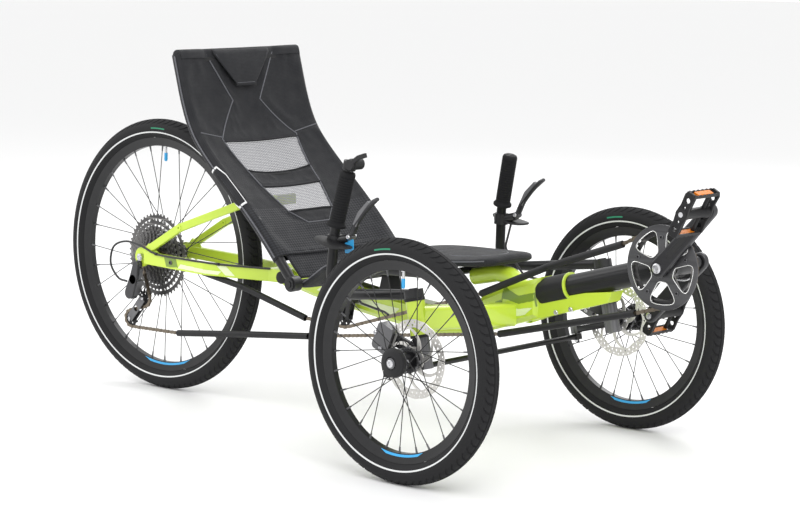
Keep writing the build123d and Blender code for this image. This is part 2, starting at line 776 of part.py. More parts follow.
with BuildPart() as rear_stays:
    for side in sides.values():
        yoke_y = side * (keel_width / 2 + 1 + stay_width / 2)
        stay = [
            (fold_x + 4, yoke_y, fold_pivot_height),
            (fold_x - 58, yoke_y, fold_pivot_height - 1),
            (rear_axle_x + 215, side * 72, 317),
            (rear_axle_x + 14, side * 73, rear_tyre_radius),
        ]
        for start, end in zip(stay, stay[1:]):
            flat_bar(start, end, stay_width, 30)
        brace = [
            (rear_axle_x + 12, side * 73, rear_tyre_radius + 12),
            (rear_axle_x + 134, side * 72, 405),
            (rear_axle_x + 318, side * 62, 470),
            (rear_axle_x + 402, side * 22, 486),
        ]
        for start, end in zip(brace, brace[1:]):
            flat_bar(start, end, stay_width - 1, 19)
        for x, y, z in stay[1:3] + brace[1:3]:
            with BuildSketch(Plane(origin=(x, y, z - 9))):
                Circle(stay_width / 2)
            extrude(amount=18)
        with BuildSketch(side_plane(brace[1][1])):
            with Locations((brace[1][0], brace[1][2])):
                Circle(8)
        extrude(amount=eyelet_length / 2, both=True)
        # Yoke eye on the pivot pin, and the dropout.
        with BuildSketch(side_plane(yoke_y)):
            with Locations((fold_x, fold_pivot_height)):
                Circle(21)
        extrude(amount=stay_width / 2, both=True)
        with BuildSketch(side_plane(side * (dropout_y + 3))):
            with Locations(cog):
                Circle(23)
            with BuildLine():
                Polyline(at_rear(-8, 328), at_rear(36, 306), at_rear(60, 336), at_rear(24, 358), close=True)
            make_face()
        extrude(amount=2.5, both=True)
    # Cross members behind the hinge and behind the seat.
    with BuildSketch(side_plane()):
        with Locations((fold_x - 62, fold_pivot_height)):
            RectangleRounded(22, 26, 5)
    extrude(amount=keel_width / 2 + 4, both=True)
    with BuildSketch(side_plane()):
        with Locations((rear_axle_x + 404, 486)):
            RectangleRounded(16, 24, 4)
    extrude(amount=30, both=True)
    with BuildSketch(side_plane()):
        with Locations((fold_x, fold_pivot_height)):
            Circle(pivot_pin_radius + running_fit)
    extrude(amount=80, both=True, mode=Mode.SUBTRACT)
    with BuildSketch(side_plane()):
        with Locations(cog):
            Circle(5 + running_fit)
    extrude(amount=90, both=True, mode=Mode.SUBTRACT)
    with BuildSketch(side_plane()):
        with Locations(at_rear(134, 405)):
            Circle(eyelet_radius)
    extrude(amount=90, both=True, mode=Mode.SUBTRACT)
for side_name, kept in (("right", Keep.TOP), ("left", Keep.BOTTOM)):
    with BuildPart() as half_stays:
        add(rear_stays.part)
        split(bisect_by=Plane.XZ, keep=kept)
    keep(half_stays, f"rear_stays_{side_name}")

# ================================================================ derailleur

cage_gap = 5.5
with BuildPart() as derailleur_body:
    hanger_y = -(dropout_y + 3) - 7
    with BuildSketch(side_plane(hanger_y)):
        with BuildLine():
            Line(at_rear(-4, 300), at_rear(-14, 272))
        trace(line_width=22)
    extrude(amount=4, both=True)
    with BuildSketch(side_plane(hanger_y + 1.5)):
        with BuildLine():
            Line(at_rear(-14, 272), at_rear(-30, 236))
        trace(line_width=30)
    extrude(amount=9, both=True)
    with BuildSketch(side_plane(hanger_y)):
        with Locations(at_rear(-6, 308)):
            Circle(7)
    extrude(amount=4.4, both=True)
keep(derailleur_body, "derailleur_body")

cage_bolt_radius = 2.5
with BuildPart() as derailleur_cage:
    for shift in (-cage_gap - 1, cage_gap + 1):
        with BuildSketch(side_plane(drive_line_y + shift)):
            with BuildLine():
                Line(guide_centre, tension_centre)
            trace(line_width=20)
            with Locations(between(guide_centre, tension_centre, 0.5)):
                Circle(7, mode=Mode.SUBTRACT)
        extrude(amount=1.0, both=True)
    for centre in (guide_centre, tension_centre):
        with BuildSketch(side_plane(drive_line_y)):
            with Locations(centre):
                Circle(cage_bolt_radius)
        extrude(amount=cage_gap + 2, both=True)
keep(derailleur_cage, "derailleur_cage")

for pulley_name, centre in (("guide_pulley", guide_centre), ("tension_pulley", tension_centre)):
    with BuildPart() as pulley:
        with BuildSketch(side_plane(drive_line_y)):
            with Locations(centre):
                Circle(pulley_radius)
                with PolarLocations(pulley_radius * 0.6, 5):
                    Circle(2.6, mode=Mode.SUBTRACT)
        extrude(amount=1.05, both=True)
        with BuildSketch(side_plane(drive_line_y)):
            with Locations(centre):
                Circle(6.5)
        extrude(amount=cage_gap - 0.3, both=True)
        with BuildSketch(side_plane(drive_line_y)):
            with Locations(centre):
                Circle(cage_bolt_radius + running_fit)
        extrude(amount=cage_gap + 3, both=True, mode=Mode.SUBTRACT)
    keep(pulley, pulley_name)

cable_radius = 2.5
hose_bend = 18.0
gear_loop = [(-47, 262), (-78, 268), (-104, 300), (-92, 342), (-46, 358), (10, 348)]
with BuildPart() as gear_cable:
    loop = [(rear_axle_x + dx, hanger_y - 2, z) for dx, z in gear_loop]
    swept(loop, cable_radius, 22)
keep(gear_cable, "gear_cable")

# ================================================================ steering

kingpin_top = head_tube_high + 26
for side_name, side in sides.items():
    wheel_point = kingpin_centre(side)

    with BuildPart() as knuckle:
        with BuildSketch(on_kingpin(side, -24)):
            Circle(17)
        extrude(amount=head_tube_low - 0.3 + 24)
        with BuildSketch(on_kingpin(side, 0)):
            Circle(kingpin_radius)
        extrude(amount=kingpin_top)
        with BuildSketch(Plane(origin=wheel_point, x_dir=(1, 0, 0), z_dir=(0, side, 0))):
            Circle(axle_radius)
        extrude(amount=hub_outer_y + 4 - kingpin_y)
        nut_seat = Plane(origin=wheel_point, x_dir=(1, 0, 0), z_dir=(0, side, 0)).offset(hub_outer_y - kingpin_y)
        with BuildSketch(nut_seat.offset(0.4)):
            Circle(11)
        extrude(amount=5)
        # Steering arm, dropping back to the tie rod's ball.
        ball = Vector(front_axle_x - tie_behind, side * kingpin_y, tie_height)
        ball_plane = Plane(origin=ball, x_dir=(0, 1, 0), z_dir=kingpin_direction)
        arm_end = ball + kingpin_direction * 15
        flat_bar(tuple(wheel_point - Vector(0, 0, 4)), tuple(arm_end), 14, 14)
        with BuildSketch(ball_plane.offset(7)):
            Circle(12)
        extrude(amount=16)
        # Caliper arm.
        caliper_x = front_axle_x - 78
        caliper_z = front_tyre_radius + 34
        flat_bar(
            (wheel_point.X - 4, side * 321, wheel_point.Z + 10),
            (caliper_x, side * 321, caliper_z),
            9,
            26,
        )
        with BuildSketch(ball_plane.offset(-14)):
            Circle(tie_pin_radius)
        extrude(amount=24)
    keep(knuckle, f"knuckle_{side_name}")

    with BuildPart() as caliper:
        with BuildSketch(side_plane(side * rotor_y)):
            with Locations((caliper_x, caliper_z)):
                RectangleRounded(42, 58, 8, rotation=-24)
        extrude(amount=11, both=True)
        with BuildSketch(side_plane(side * rotor_y)):
            with Locations((front_axle_x, front_tyre_radius)):
                Circle(rotor_radius + 3)
                Circle(rotor_radius - 26, mode=Mode.SUBTRACT)
        extrude(amount=rotor_thickness / 2 + 0.6, both=True, mode=Mode.SUBTRACT)
    keep(caliper, f"caliper_{side_name}")

    # Handlebar: out of the clamp on the kingpin, back beside the seat, then up to the grip.
    clamp_point = wheel_point + kingpin_direction * (head_tube_high + 12)
    bar_points = [
        (clamp_point.X - 8, side * kingpin_y, clamp_point.Z),
        (front_axle_x - 232, side * 296, 349),
        (front_axle_x - 292, side * 276, 352),
        (front_axle_x - 283, side * 270, 472),
        (front_axle_x - 252, side * 262, 600),
    ]
    with BuildPart() as handlebar:
        with BuildSketch(on_kingpin(side, head_tube_high + 0.5)):
            Circle(20)
        extrude(amount=23)
        swept(bar_points, bar_radius, bar_bend)
        with BuildSketch(on_kingpin(side, head_tube_high)):
            Circle(kingpin_radius + 0.05)
        extrude(amount=40, mode=Mode.SUBTRACT)
        # Brake lever clamp and master cylinder.
        perch = Vector(*bar_points[3]) + Vector(0, 0, -18)
        with BuildSketch(Plane(origin=perch, x_dir=(0, 1, 0), z_dir=(0.08, 0, 1))):
            Circle(bar_radius + 5)
        extrude(amount=12, both=True)
        rod(tuple(perch + Vector(14, 0, 2)), tuple(perch + Vector(40, 0, 8)), 9)
    keep(handlebar, f"handlebar_{side_name}")

    grip_end = Vector(*bar_points[4])
    grip_axis = (grip_end - Vector(*bar_points[3])).normalized()
    grip_plane = Plane(origin=grip_end + grip_axis * 3, x_dir=(0, 1, 0), z_dir=-grip_axis)
    with BuildPart() as grip:
        with BuildSketch(grip_plane):
            Circle(grip_radius)
        extrude(amount=grip_length - 14)
        with BuildSketch(grip_plane.offset(grip_length - 14)):
            Circle(grip_radius + 4)
        extrude(amount=4)
        fillet(grip.edges().filter_by(GeomType.CIRCLE).sort_by(Axis.Z)[-1], 9)
        with BuildSketch(grip_plane.offset(2.9)):
            Circle(bar_radius + 0.05)
        extrude(amount=grip_length, mode=Mode.SUBTRACT)
    keep(grip, f"grip_{side_name}")

    lever_pivot = perch + Vector(47, 0, 12)
    with BuildPart() as brake_lever:
        with BuildSketch(side_plane(perch.Y)):
            with BuildLine():
                FilletPolyline(
                    (lever_pivot.X, lever_pivot.Z),
                    (lever_pivot.X + 12, lever_pivot.Z + 24),
                    (lever_pivot.X + 26, lever_pivot.Z + 50),
                    (lever_pivot.X + 52, lever_pivot.Z + 74),
                    radius=20,
                )
            trace(line_width=10)
        extrude(amount=4.5, both=True)
        with BuildSketch(side_plane(perch.Y)):
            with Locations((lever_pivot.X, lever_pivot.Z)):
                Circle(7)
        extrude(amount=6, both=True)
    keep(brake_lever, f"brake_lever_{side_name}")

    hose = [
        (perch.X + 30, perch.Y, perch.Z - 4.5),
        (perch.X + 25, side * 254, perch.Z - 62),
        (front_axle_x - 212, side * 268, 330),
        (front_axle_x - 128, side * 286, 322),
        (caliper_x - 8, side * 321, caliper_z + 44),
    ]
    with BuildPart() as brake_hose:
        swept(hose, cable_radius, hose_bend)
    keep(brake_hose, f"brake_hose_{side_name}")

with BuildPart() as tie_rod:
    rod_x = front_axle_x - tie_behind
    rod_z = tie_height
    rod((rod_x, -kingpin_y + 14, rod_z), (rod_x, kingpin_y - 14, rod_z), tie_radius)
    for side in sides.values():
        ball_plane = Plane(origin=(rod_x, side * kingpin_y, rod_z), x_dir=(0, 1, 0), z_dir=kingpin_direction)
        with BuildSketch(ball_plane.offset(-7)):
            Circle(11)
        extrude(amount=13)
        rod((rod_x, side * (kingpin_y - 16), rod_z), (rod_x, side * (kingpin_y - 4), rod_z), tie_radius)
        # The right ball is the hinge; the left one has room, because the linkage is open there.
        with BuildSketch(ball_plane.offset(-20)):
            Circle(tie_pin_radius + (running_fit if side < 0 else 0.8))
        extrude(amount=40, mode=Mode.SUBTRACT)
keep(tie_rod, "tie_rod")

# ---- shifter at the top of the right bar
right_top = Vector(front_axle_x - 249, -262, 606)
right_axis = Vector(31, 8, 128).normalized()
with BuildPart() as shifter_body:
    with BuildSketch(Plane(origin=Vector(front_axle_x - 252, -262, 600) + right_axis * 3.3, z_dir=right_axis)):
        Circle(14)
    extrude(amount=18)
    with BuildSketch(side_plane(right_top.Y)):
        with Locations((right_top.X + 18, right_top.Z + 10)):
            Circle(12)
    extrude(amount=14, both=True)
keep(shifter_body, "shifter_body")

with BuildPart() as shifter_lever:
    with BuildSketch(side_plane(right_top.Y - 17.5)):
        with Locations((right_top.X + 18, right_top.Z + 10)):
            Circle(11)
        with BuildLine():
            Polyline(
                (right_top.X + 18, right_top.Z + 10),
                (right_top.X + 42, right_top.Z + 26),
                (right_top.X + 62, right_top.Z + 32),
            )
        trace(line_width=9)
    extrude(amount=3.2, both=True)
keep(shifter_lever, "shifter_lever")

# ================================================================ seat

seat_back_line = [at_front(-852, 815), at_front(-814, 672), at_front(-763, 598), at_front(-600, 458)]
seat_back_line.append(at_front(-seat_pivot_behind_front, seat_pivot_height))
seat_bend = 150
cover_start = 68.0


def seat_rail(y, radius, mode=Mode.ADD):
    """One side rail of the seat back, from its top to the hinge."""
    swept([(x, y, z) for x, z in seat_back_line], radius, seat_bend, mode=mode)


cross_shift = 14.0
back_mid = between(seat_back_line[2], seat_back_line[3], 0.33)
cross_tube = (back_mid[0] - cross_shift * 0.65, back_mid[1] - cross_shift * 0.76)
top_tube = between(seat_back_line[0], seat_back_line[1], 0.09)
eye_half_width = 11.2

with BuildPart() as seat_back_frame:
    for side in sides.values():
        seat_rail(side * seat_tube_y, seat_tube_radius)
        with BuildSketch(side_plane(side * seat_tube_y)):
            with Locations(seat_back_line[4]):
                Circle(17)
        extrude(amount=eye_half_width, both=True)
    for x, z in (cross_tube, top_tube):
        rod((x, -seat_tube_y, z), (x, seat_tube_y, z), 9)
    with BuildSketch(side_plane()):
        with Locations(seat_back_line[4]):
            Circle(7 + running_fit)
    extrude(amount=220, both=True, mode=Mode.SUBTRACT)
keep(seat_back_frame, "seat_back_frame")

with BuildPart() as seat_back_cover:
    with BuildSketch(side_plane()):
        with BuildLine():
            lowest_run = hypot(seat_back_line[3][0] - seat_back_line[4][0], seat_back_line[3][1] - seat_back_line[4][1])
            last = between(seat_back_line[4], seat_back_line[3], cover_start / lowest_run)
            FilletPolyline(*seat_back_line[:4], last, radius=seat_bend)
            offset(amount=seat_cover_half_thickness, side=Side.BOTH)
        make_face()
    extrude(amount=seat_cover_half_width, both=True)
    for side in sides.values():
        seat_rail(side * seat_tube_y, seat_tube_radius + cloth_gap, Mode.SUBTRACT)
    for point, lean in ((cross_tube, -41), (top_tube, -75)):
        with BuildSketch(side_plane()):
            with Locations(point):
                Rectangle(2 * (9 + cloth_gap), 2 * (9 + cloth_gap), rotation=lean)
        extrude(amount=seat_tube_y, both=True, mode=Mode.SUBTRACT)
keep(seat_back_cover, "seat_back_cover")

base_line = [at_front(dx, z) for dx, z in ((-426, 364), (-380, 382), (-290, 396), (-100, 404), (-21, 412))]
base_outline = [(-440, 188), (-350, 162), (-250, 141), (-114, 112), (-40, 76), (-8, 50)]
base_half_thickness = 10.0
rail_radius = 9.0
base_rail_y = 112.0

with BuildPart() as seat_base_frame:
    rod((seat_pivot_x, -200, seat_pivot_height), (seat_pivot_x, 200, seat_pivot_height), 7)
    rail = [
        (seat_pivot_x, seat_pivot_height),
        at_front(-425, 334),
        at_front(-372, 356),
        at_front(-290, 374),
        at_front(strut_end - 13, 379),
    ]
    for side in sides.values():
        swept([(x, side * base_rail_y, z) for x, z in rail], rail_radius, 45)
        rod((seat_pivot_x, side * 100, seat_pivot_height), (seat_pivot_x, side * 124, seat_pivot_height), 12)
        rod(
            (seat_pivot_x, side * (seat_tube_y + eye_half_width + 0.3), seat_pivot_height),
            (seat_pivot_x, side * (seat_tube_y + eye_half_width + 4), seat_pivot_height),
            13,
        )
    cross_x, cross_z = rail[4]
    rod((cross_x, -base_rail_y, cross_z), (cross_x, base_rail_y, cross_z), 8)
    middle_x, middle_z = rail[2]
    rod((middle_x, -base_rail_y, middle_z - 2), (middle_x, base_rail_y, middle_z - 2), 8)
    # Foot that stands on the keel.
    foot_rear = middle_x - front_axle_x - 20
    foot_front = foot_rear + 40
    with BuildSketch(side_plane()):
        with BuildLine():
            Polyline(
                at_front(foot_rear, height_on(keel_upper, foot_rear) + 0.2),
                at_front(foot_front, height_on(keel_upper, foot_front) + 0.2),
                at_front(foot_front - 12, middle_z - 2),
                at_front(foot_rear + 12, middle_z - 2),
                close=True,
            )
        make_face()
    extrude(amount=17, both=True)
keep(seat_base_frame, "seat_base_frame")

with BuildPart() as seat_base_cover:
    with BuildSketch(side_plane()):
        with BuildLine():
            FilletPolyline(*base_line, radius=60)
            offset(amount=base_half_thickness, side=Side.BOTH)
        make_face()
    extrude(amount=200, both=True)
    with BuildSketch(Plane.XY.offset(250)):
        with BuildLine():
            Polyline(
                *[at_front(dx, -y) for dx, y in base_outline],
                *[at_front(dx, y) for dx, y in reversed(base_outline)],
                close=True,
            )
        make_face()
        fillet(vertices().filter_by_position(Axis.X, front_axle_x - 400, front_axle_x), 22)
    extrude(amount=300, mode=Mode.INTERSECT)
keep(seat_base_cover, "seat_base_cover")
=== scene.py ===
import bpy
import bmesh
import json
import math
import random
from mathutils import Matrix, Vector


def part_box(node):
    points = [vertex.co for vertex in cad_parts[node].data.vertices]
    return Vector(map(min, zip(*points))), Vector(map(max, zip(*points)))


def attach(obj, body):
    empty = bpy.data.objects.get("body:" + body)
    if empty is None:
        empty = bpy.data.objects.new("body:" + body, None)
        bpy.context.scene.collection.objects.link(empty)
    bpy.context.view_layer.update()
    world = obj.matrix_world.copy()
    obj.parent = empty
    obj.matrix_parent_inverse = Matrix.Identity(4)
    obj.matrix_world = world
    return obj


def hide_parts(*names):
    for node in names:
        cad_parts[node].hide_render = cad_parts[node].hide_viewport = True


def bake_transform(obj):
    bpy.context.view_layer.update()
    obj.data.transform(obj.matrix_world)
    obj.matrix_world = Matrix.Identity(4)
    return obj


# Recumbent tricycle: materials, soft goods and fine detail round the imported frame. Metres.

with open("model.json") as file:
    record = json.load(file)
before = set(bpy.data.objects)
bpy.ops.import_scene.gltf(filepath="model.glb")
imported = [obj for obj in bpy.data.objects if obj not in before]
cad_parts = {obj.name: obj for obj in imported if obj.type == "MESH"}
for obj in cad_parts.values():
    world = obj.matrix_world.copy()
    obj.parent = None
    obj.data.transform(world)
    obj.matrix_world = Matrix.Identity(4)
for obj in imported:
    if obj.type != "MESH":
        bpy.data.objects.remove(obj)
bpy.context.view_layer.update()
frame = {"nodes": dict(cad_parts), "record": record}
random.seed(7)
side_names = {"right": -1, "left": 1}


# ---------------------------------------------------------------- places from the frame


def corner(node):
    """Lowest and highest corners of a node as vectors."""
    low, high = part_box(node)
    return Vector(low), Vector(high)


def centre_of(node):
    """The middle of a node's box."""
    low, high = corner(node)
    return (low + high) / 2


def joint_place(name):
    """The point that a joint turns about."""
    for joint in frame["record"]["behaviour"]["joints"]:
        if joint["name"] == name:
            return Vector(joint["pos_m"])
    raise KeyError(name)


rear_axle = joint_place("wheel_rear_spin")
front_axle = {side: joint_place(f"wheel_front_{side}_spin") for side in side_names}
bottom_bracket = joint_place("crank_spin")
fold_pivot = joint_place("rear_frame_fold")
front_x = front_axle["right"].x
rear_x = rear_axle.x

# ---------------------------------------------------------------- shader groups and materials


def node_group(name, inputs, outputs):
    """An empty shader group with named float, colour or vector sockets."""
    group = bpy.data.node_groups.new(name, "ShaderNodeTree")
    for label, kind, value in inputs:
        socket = group.interface.new_socket(name=label, in_out="INPUT", socket_type=kind)
        socket.default_value = value
    for label, kind in outputs:
        group.interface.new_socket(name=label, in_out="OUTPUT", socket_type=kind)
    start = group.nodes.new("NodeGroupInput")
    end = group.nodes.new("NodeGroupOutput")
    return group, start, end


def add(group, kind, **settings):
    node = group.nodes.new(kind)
    for key, value in settings.items():
        setattr(node, key, value)
    return node


def math_node(group, operation, first, second=None):
    node = add(group, "ShaderNodeMath", operation=operation)
    for slot, value in enumerate((first, second)):
        if value is None:
            continue
        if isinstance(value, (int, float)):
            node.inputs[slot].default_value = value
        else:
            group.links.new(value, node.inputs[slot])
    return node.outputs[0]


def wear_group():
    """Speckled colour change and roughness change, with paler edges."""
    inputs = [
        ("Colour", "NodeSocketColor", (0.5, 0.5, 0.5, 1)),
        ("Edge Colour", "NodeSocketColor", (0.7, 0.7, 0.7, 1)),
        ("Scale", "NodeSocketFloat", 60.0),
        ("Variation", "NodeSocketFloat", 0.15),
        ("Edge", "NodeSocketFloat", 0.3),
        ("Roughness", "NodeSocketFloat", 0.4),
    ]
    outputs = [
        ("Colour", "NodeSocketColor"), ("Roughness", "NodeSocketFloat"), ("Height", "NodeSocketFloat")
    ]
    group, start, end = node_group("surface_wear", inputs, outputs)
    place = add(group, "ShaderNodeTexCoord")
    grain = add(group, "ShaderNodeTexNoise")
    grain.inputs["Detail"].default_value = 6
    group.links.new(place.outputs["Object"], grain.inputs["Vector"])
    group.links.new(start.outputs["Scale"], grain.inputs["Scale"])
    geometry = add(group, "ShaderNodeNewGeometry")
    edge = add(group, "ShaderNodeMapRange")
    edge.inputs["From Min"].default_value = 0.51
    edge.inputs["From Max"].default_value = 0.62
    group.links.new(geometry.outputs["Pointiness"], edge.inputs["Value"])
    edge_amount = math_node(group, "MULTIPLY", edge.outputs[0], start.outputs["Edge"])
    mixed = add(group, "ShaderNodeMix", data_type="RGBA")
    group.links.new(edge_amount, mixed.inputs["Factor"])
    group.links.new(start.outputs["Colour"], mixed.inputs["A"])
    group.links.new(start.outputs["Edge Colour"], mixed.inputs["B"])
    centred = math_node(group, "SUBTRACT", grain.outputs[0], 0.5)
    amount = math_node(group, "MULTIPLY", centred, start.outputs["Variation"])
    lift = math_node(group, "ADD", amount, 1.0)
    tint = add(group, "ShaderNodeVectorMath", operation="SCALE")
    group.links.new(mixed.outputs["Result"], tint.inputs[0])
    group.links.new(lift, tint.inputs["Scale"])
    group.links.new(tint.outputs[0], end.inputs["Colour"])
    rough = math_node(group, "ADD", start.outputs["Roughness"], amount)
    group.links.new(rough, end.inputs["Roughness"])
    group.links.new(grain.outputs[0], end.inputs["Height"])
    return group


def weave_group():
    """Crossed threads, as a height and a darker mask between the threads."""
    inputs = [("Threads", "NodeSocketFloat", 900.0), ("Tilt", "NodeSocketFloat", 0.6)]
    outputs = [("Height", "NodeSocketFloat"), ("Gap", "NodeSocketFloat")]
    group, start, end = node_group("thread_weave", inputs, outputs)
    place = add(group, "ShaderNodeTexCoord")
    split = add(group, "ShaderNodeSeparateXYZ")
    group.links.new(place.outputs["Object"], split.inputs[0])
    tilted = math_node(group, "MULTIPLY", split.outputs["X"], start.outputs["Tilt"])
    down = math_node(group, "SUBTRACT", split.outputs["Z"], tilted)
    waves = []
    for coordinate in (split.outputs["Y"], down):
        phase = math_node(group, "MULTIPLY", coordinate, start.outputs["Threads"])
        waves.append(math_node(group, "ABSOLUTE", math_node(group, "SINE", phase)))
    height = math_node(group, "MULTIPLY", waves[0], waves[1])
    group.links.new(height, end.inputs["Height"])
    group.links.new(math_node(group, "LESS_THAN", height, 0.18), end.inputs["Gap"])
    return group


wear = wear_group()
weave = weave_group()


def new_material(name):
    material = bpy.data.materials.new(name)
    material.use_nodes = True
    tree = material.node_tree
    return material, tree, tree.nodes["Principled BSDF"]


def worn(name, colour, roughness, metallic=0.0, scale=60.0, variation=0.15, edge=0.25, edge_colour=None,
         bump=0.05, coat=0.0, sheen=0.0, specular=0.5):
    """A finish with grain, roughness change and paler edges."""
    material, tree, shader = new_material(name)
    node = add(tree, "ShaderNodeGroup", node_tree=wear)
    node.inputs["Colour"].default_value = (*colour, 1)
    paler = edge_colour or tuple(min(1.0, c * 1.6 + 0.05) for c in colour)
    node.inputs["Edge Colour"].default_value = (*paler, 1)
    node.inputs["Scale"].default_value = scale
    node.inputs["Variation"].default_value = variation
    node.inputs["Edge"].default_value = edge
    node.inputs["Roughness"].default_value = roughness
    tree.links.new(node.outputs["Colour"], shader.inputs["Base Color"])
    tree.links.new(node.outputs["Roughness"], shader.inputs["Roughness"])
    shader.inputs["Metallic"].default_value = metallic
    shader.inputs["Specular IOR Level"].default_value = specular
    shader.inputs["Coat Weight"].default_value = coat
    shader.inputs["Coat Roughness"].default_value = 0.08
    shader.inputs["Sheen Weight"].default_value = sheen
    relief = add(tree, "ShaderNodeBump")
    relief.inputs["Strength"].default_value = bump
    relief.inputs["Distance"].default_value = 0.0006
    tree.links.new(node.outputs["Height"], relief.inputs["Height"])
    tree.links.new(relief.outputs["Normal"], shader.inputs["Normal"])
    return material


lime = worn(
    "lime_powder_coat", (0.52, 0.70, 0.045), 0.32, scale=900, variation=0.06, edge=0.12, bump=0.10,
    coat=0.5
)
# painted shade: a darker copy of the lime, laid in bands where the frame is in shade
painted_shade_lime = worn(
    "lime_painted_shade", (0.17, 0.27, 0.02), 0.36, scale=900, variation=0.06, edge=0.1, bump=0.10, coat=0.4
)
# painted highlight: a paler copy of the lime, laid in bands where the frame catches the light
lime_painted_highlight = worn(
    "lime_painted_highlight", (0.76, 0.86, 0.50), 0.38, scale=900, variation=0.06, edge=0.1, bump=0.10, coat=0.4
)
satin_black = worn(
    "satin_black_paint", (0.007, 0.007, 0.008), 0.40, scale=700, variation=0.2, edge=0.3, coat=0.10,
    specular=0.3
)
black_alloy = worn("black_anodised_alloy", (0.018, 0.018, 0.020), 0.38, metallic=0.6, scale=500, edge=0.6,
                   edge_colour=(0.25, 0.25, 0.26))
bright_steel = worn("brushed_steel", (0.58, 0.58, 0.60), 0.28, metallic=1.0, scale=220, variation=0.3)
rotor_steel = worn("ground_rotor_steel", (0.60, 0.585, 0.56), 0.36, metallic=0.75, scale=150, variation=0.3)
chain_steel = worn("oiled_chain_steel", (0.15, 0.125, 0.095), 0.34, metallic=0.9, scale=300, variation=0.5)
cog_steel = worn("black_sprocket_steel", (0.03, 0.03, 0.032), 0.36, metallic=0.7, scale=240, variation=0.3,
                 edge=0.7, edge_colour=(0.35, 0.34, 0.33))
tyre_rubber = worn(
    "tyre_rubber", (0.012, 0.012, 0.013), 0.75, scale=420, variation=0.35, edge=0.2, bump=0.25,
    specular=0.2
)
tyre_side = worn(
    "tyre_sidewall", (0.013, 0.013, 0.014), 0.66, scale=650, variation=0.3, edge=0.1, bump=0.15,
    specular=0.2
)
reflex_band = worn(
    "reflective_band", (0.66, 0.67, 0.67), 0.35, metallic=0.2, scale=1500, variation=0.2, bump=0.1
)
rim_black = worn(
    "black_rim", (0.008, 0.008, 0.009), 0.36, metallic=0.2, scale=400, edge=0.3, coat=0.1, specular=0.3
)
blue_mark = worn("blue_rim_mark", (0.02, 0.30, 0.62), 0.35, scale=400, variation=0.1)
green_mark = worn("green_tyre_mark", (0.01, 0.20, 0.10), 0.55, scale=400, variation=0.1)
spoke_black = worn("black_spoke", (0.02, 0.02, 0.021), 0.35, metallic=0.7, scale=300)
black_plastic = worn(
    "moulded_black_plastic", (0.009, 0.009, 0.010), 0.50, scale=900, variation=0.25, edge=0.2, bump=0.2,
    specular=0.25
)
grip_rubber = worn(
    "grip_rubber", (0.007, 0.007, 0.008), 0.78, scale=800, variation=0.3, edge=0.2, bump=0.3,
    specular=0.2
)
cable_rubber = worn("cable_rubber", (0.010, 0.010, 0.011), 0.45, scale=500, variation=0.2)
reflector = worn(
    "amber_reflector", (0.62, 0.17, 0.004), 0.45, scale=700, variation=0.15, edge=0.05, specular=0.2
)
silver_edge = worn("machined_silver", (0.80, 0.80, 0.79), 0.25, metallic=0.9, scale=500, variation=0.1)
piping_grey = worn("grey_piping", (0.075, 0.077, 0.090), 0.7, scale=900, variation=0.3, sheen=0.3, bump=0.3)


def fabric(name, colour, threads, strength, sheen, gap_colour=None, see_through=0.0):
    """A woven cloth, with holes between the threads where it is a net."""
    material, tree, shader = new_material(name)
    threads_node = add(tree, "ShaderNodeGroup", node_tree=weave)
    threads_node.inputs["Threads"].default_value = threads
    surface = add(tree, "ShaderNodeGroup", node_tree=wear)
    surface.inputs["Colour"].default_value = (*colour, 1)
    surface.inputs["Edge Colour"].default_value = (*(c * 1.4 for c in colour), 1)
    surface.inputs["Scale"].default_value = 38
    surface.inputs["Variation"].default_value = 0.35
    surface.inputs["Edge"].default_value = 0.1
    surface.inputs["Roughness"].default_value = 0.82
    tint = add(tree, "ShaderNodeMix", data_type="RGBA")
    tint.inputs["B"].default_value = (*(gap_colour or tuple(c * 0.35 for c in colour)), 1)
    tree.links.new(threads_node.outputs["Gap"], tint.inputs["Factor"])
    tree.links.new(surface.outputs["Colour"], tint.inputs["A"])
    tree.links.new(tint.outputs["Result"], shader.inputs["Base Color"])
    tree.links.new(surface.outputs["Roughness"], shader.inputs["Roughness"])
    relief = add(tree, "ShaderNodeBump")
    relief.inputs["Strength"].default_value = strength
    relief.inputs["Distance"].default_value = 0.0008
    tree.links.new(threads_node.outputs["Height"], relief.inputs["Height"])
    tree.links.new(relief.outputs["Normal"], shader.inputs["Normal"])
    shader.inputs["Sheen Weight"].default_value = sheen
    shader.inputs["Sheen Roughness"].default_value = 0.5
    if see_through:
        hole = math_node(tree, "MULTIPLY", threads_node.outputs["Gap"], see_through)
        tree.links.new(math_node(tree, "SUBTRACT", 1.0, hole), shader.inputs["Alpha"])
    return material


seat_cloth = fabric("black_spacer_cloth", (0.0085, 0.009, 0.012), 900, 0.5, 0.05)
spacer_mesh = fabric(
    "dotted_spacer_mesh", (0.013, 0.014, 0.018), 420, 1.0, 0.08, gap_colour=(0.002, 0.002, 0.003)
)
net_cloth = fabric("grey_net", (0.20, 0.20, 0.215), 620, 0.5, 0.2, see_through=0.75)

finishes = {
    "frame_paint": lime,
    "black_paint": satin_black,
    "black_alloy": black_alloy,
    "bright_steel": bright_steel,
    "rotor_steel": rotor_steel,
    "chain_steel": chain_steel,
    "cog_steel": cog_steel,
    "tyre_rubber": tyre_rubber,
    "rim_alloy": rim_black,
    "spoke_steel": spoke_black,
    "black_plastic": black_plastic,
    "grip_rubber": grip_rubber,
    "seat_fabric": seat_cloth,
    "cable_rubber": cable_rubber,
}
for row in frame["record"]["subparts"]:
    node_object = frame["nodes"][row["node"]]
    node_object.data.materials.clear()
    node_object.data.materials.append(finishes[row["material_slot"]])

# ---------------------------------------------------------------- camera, floor and light


def aim(obj, place, target):
    obj.location = place
    obj.rotation_euler = (Vector(target) - Vector(place)).to_track_quat("-Z", "Y").to_euler()


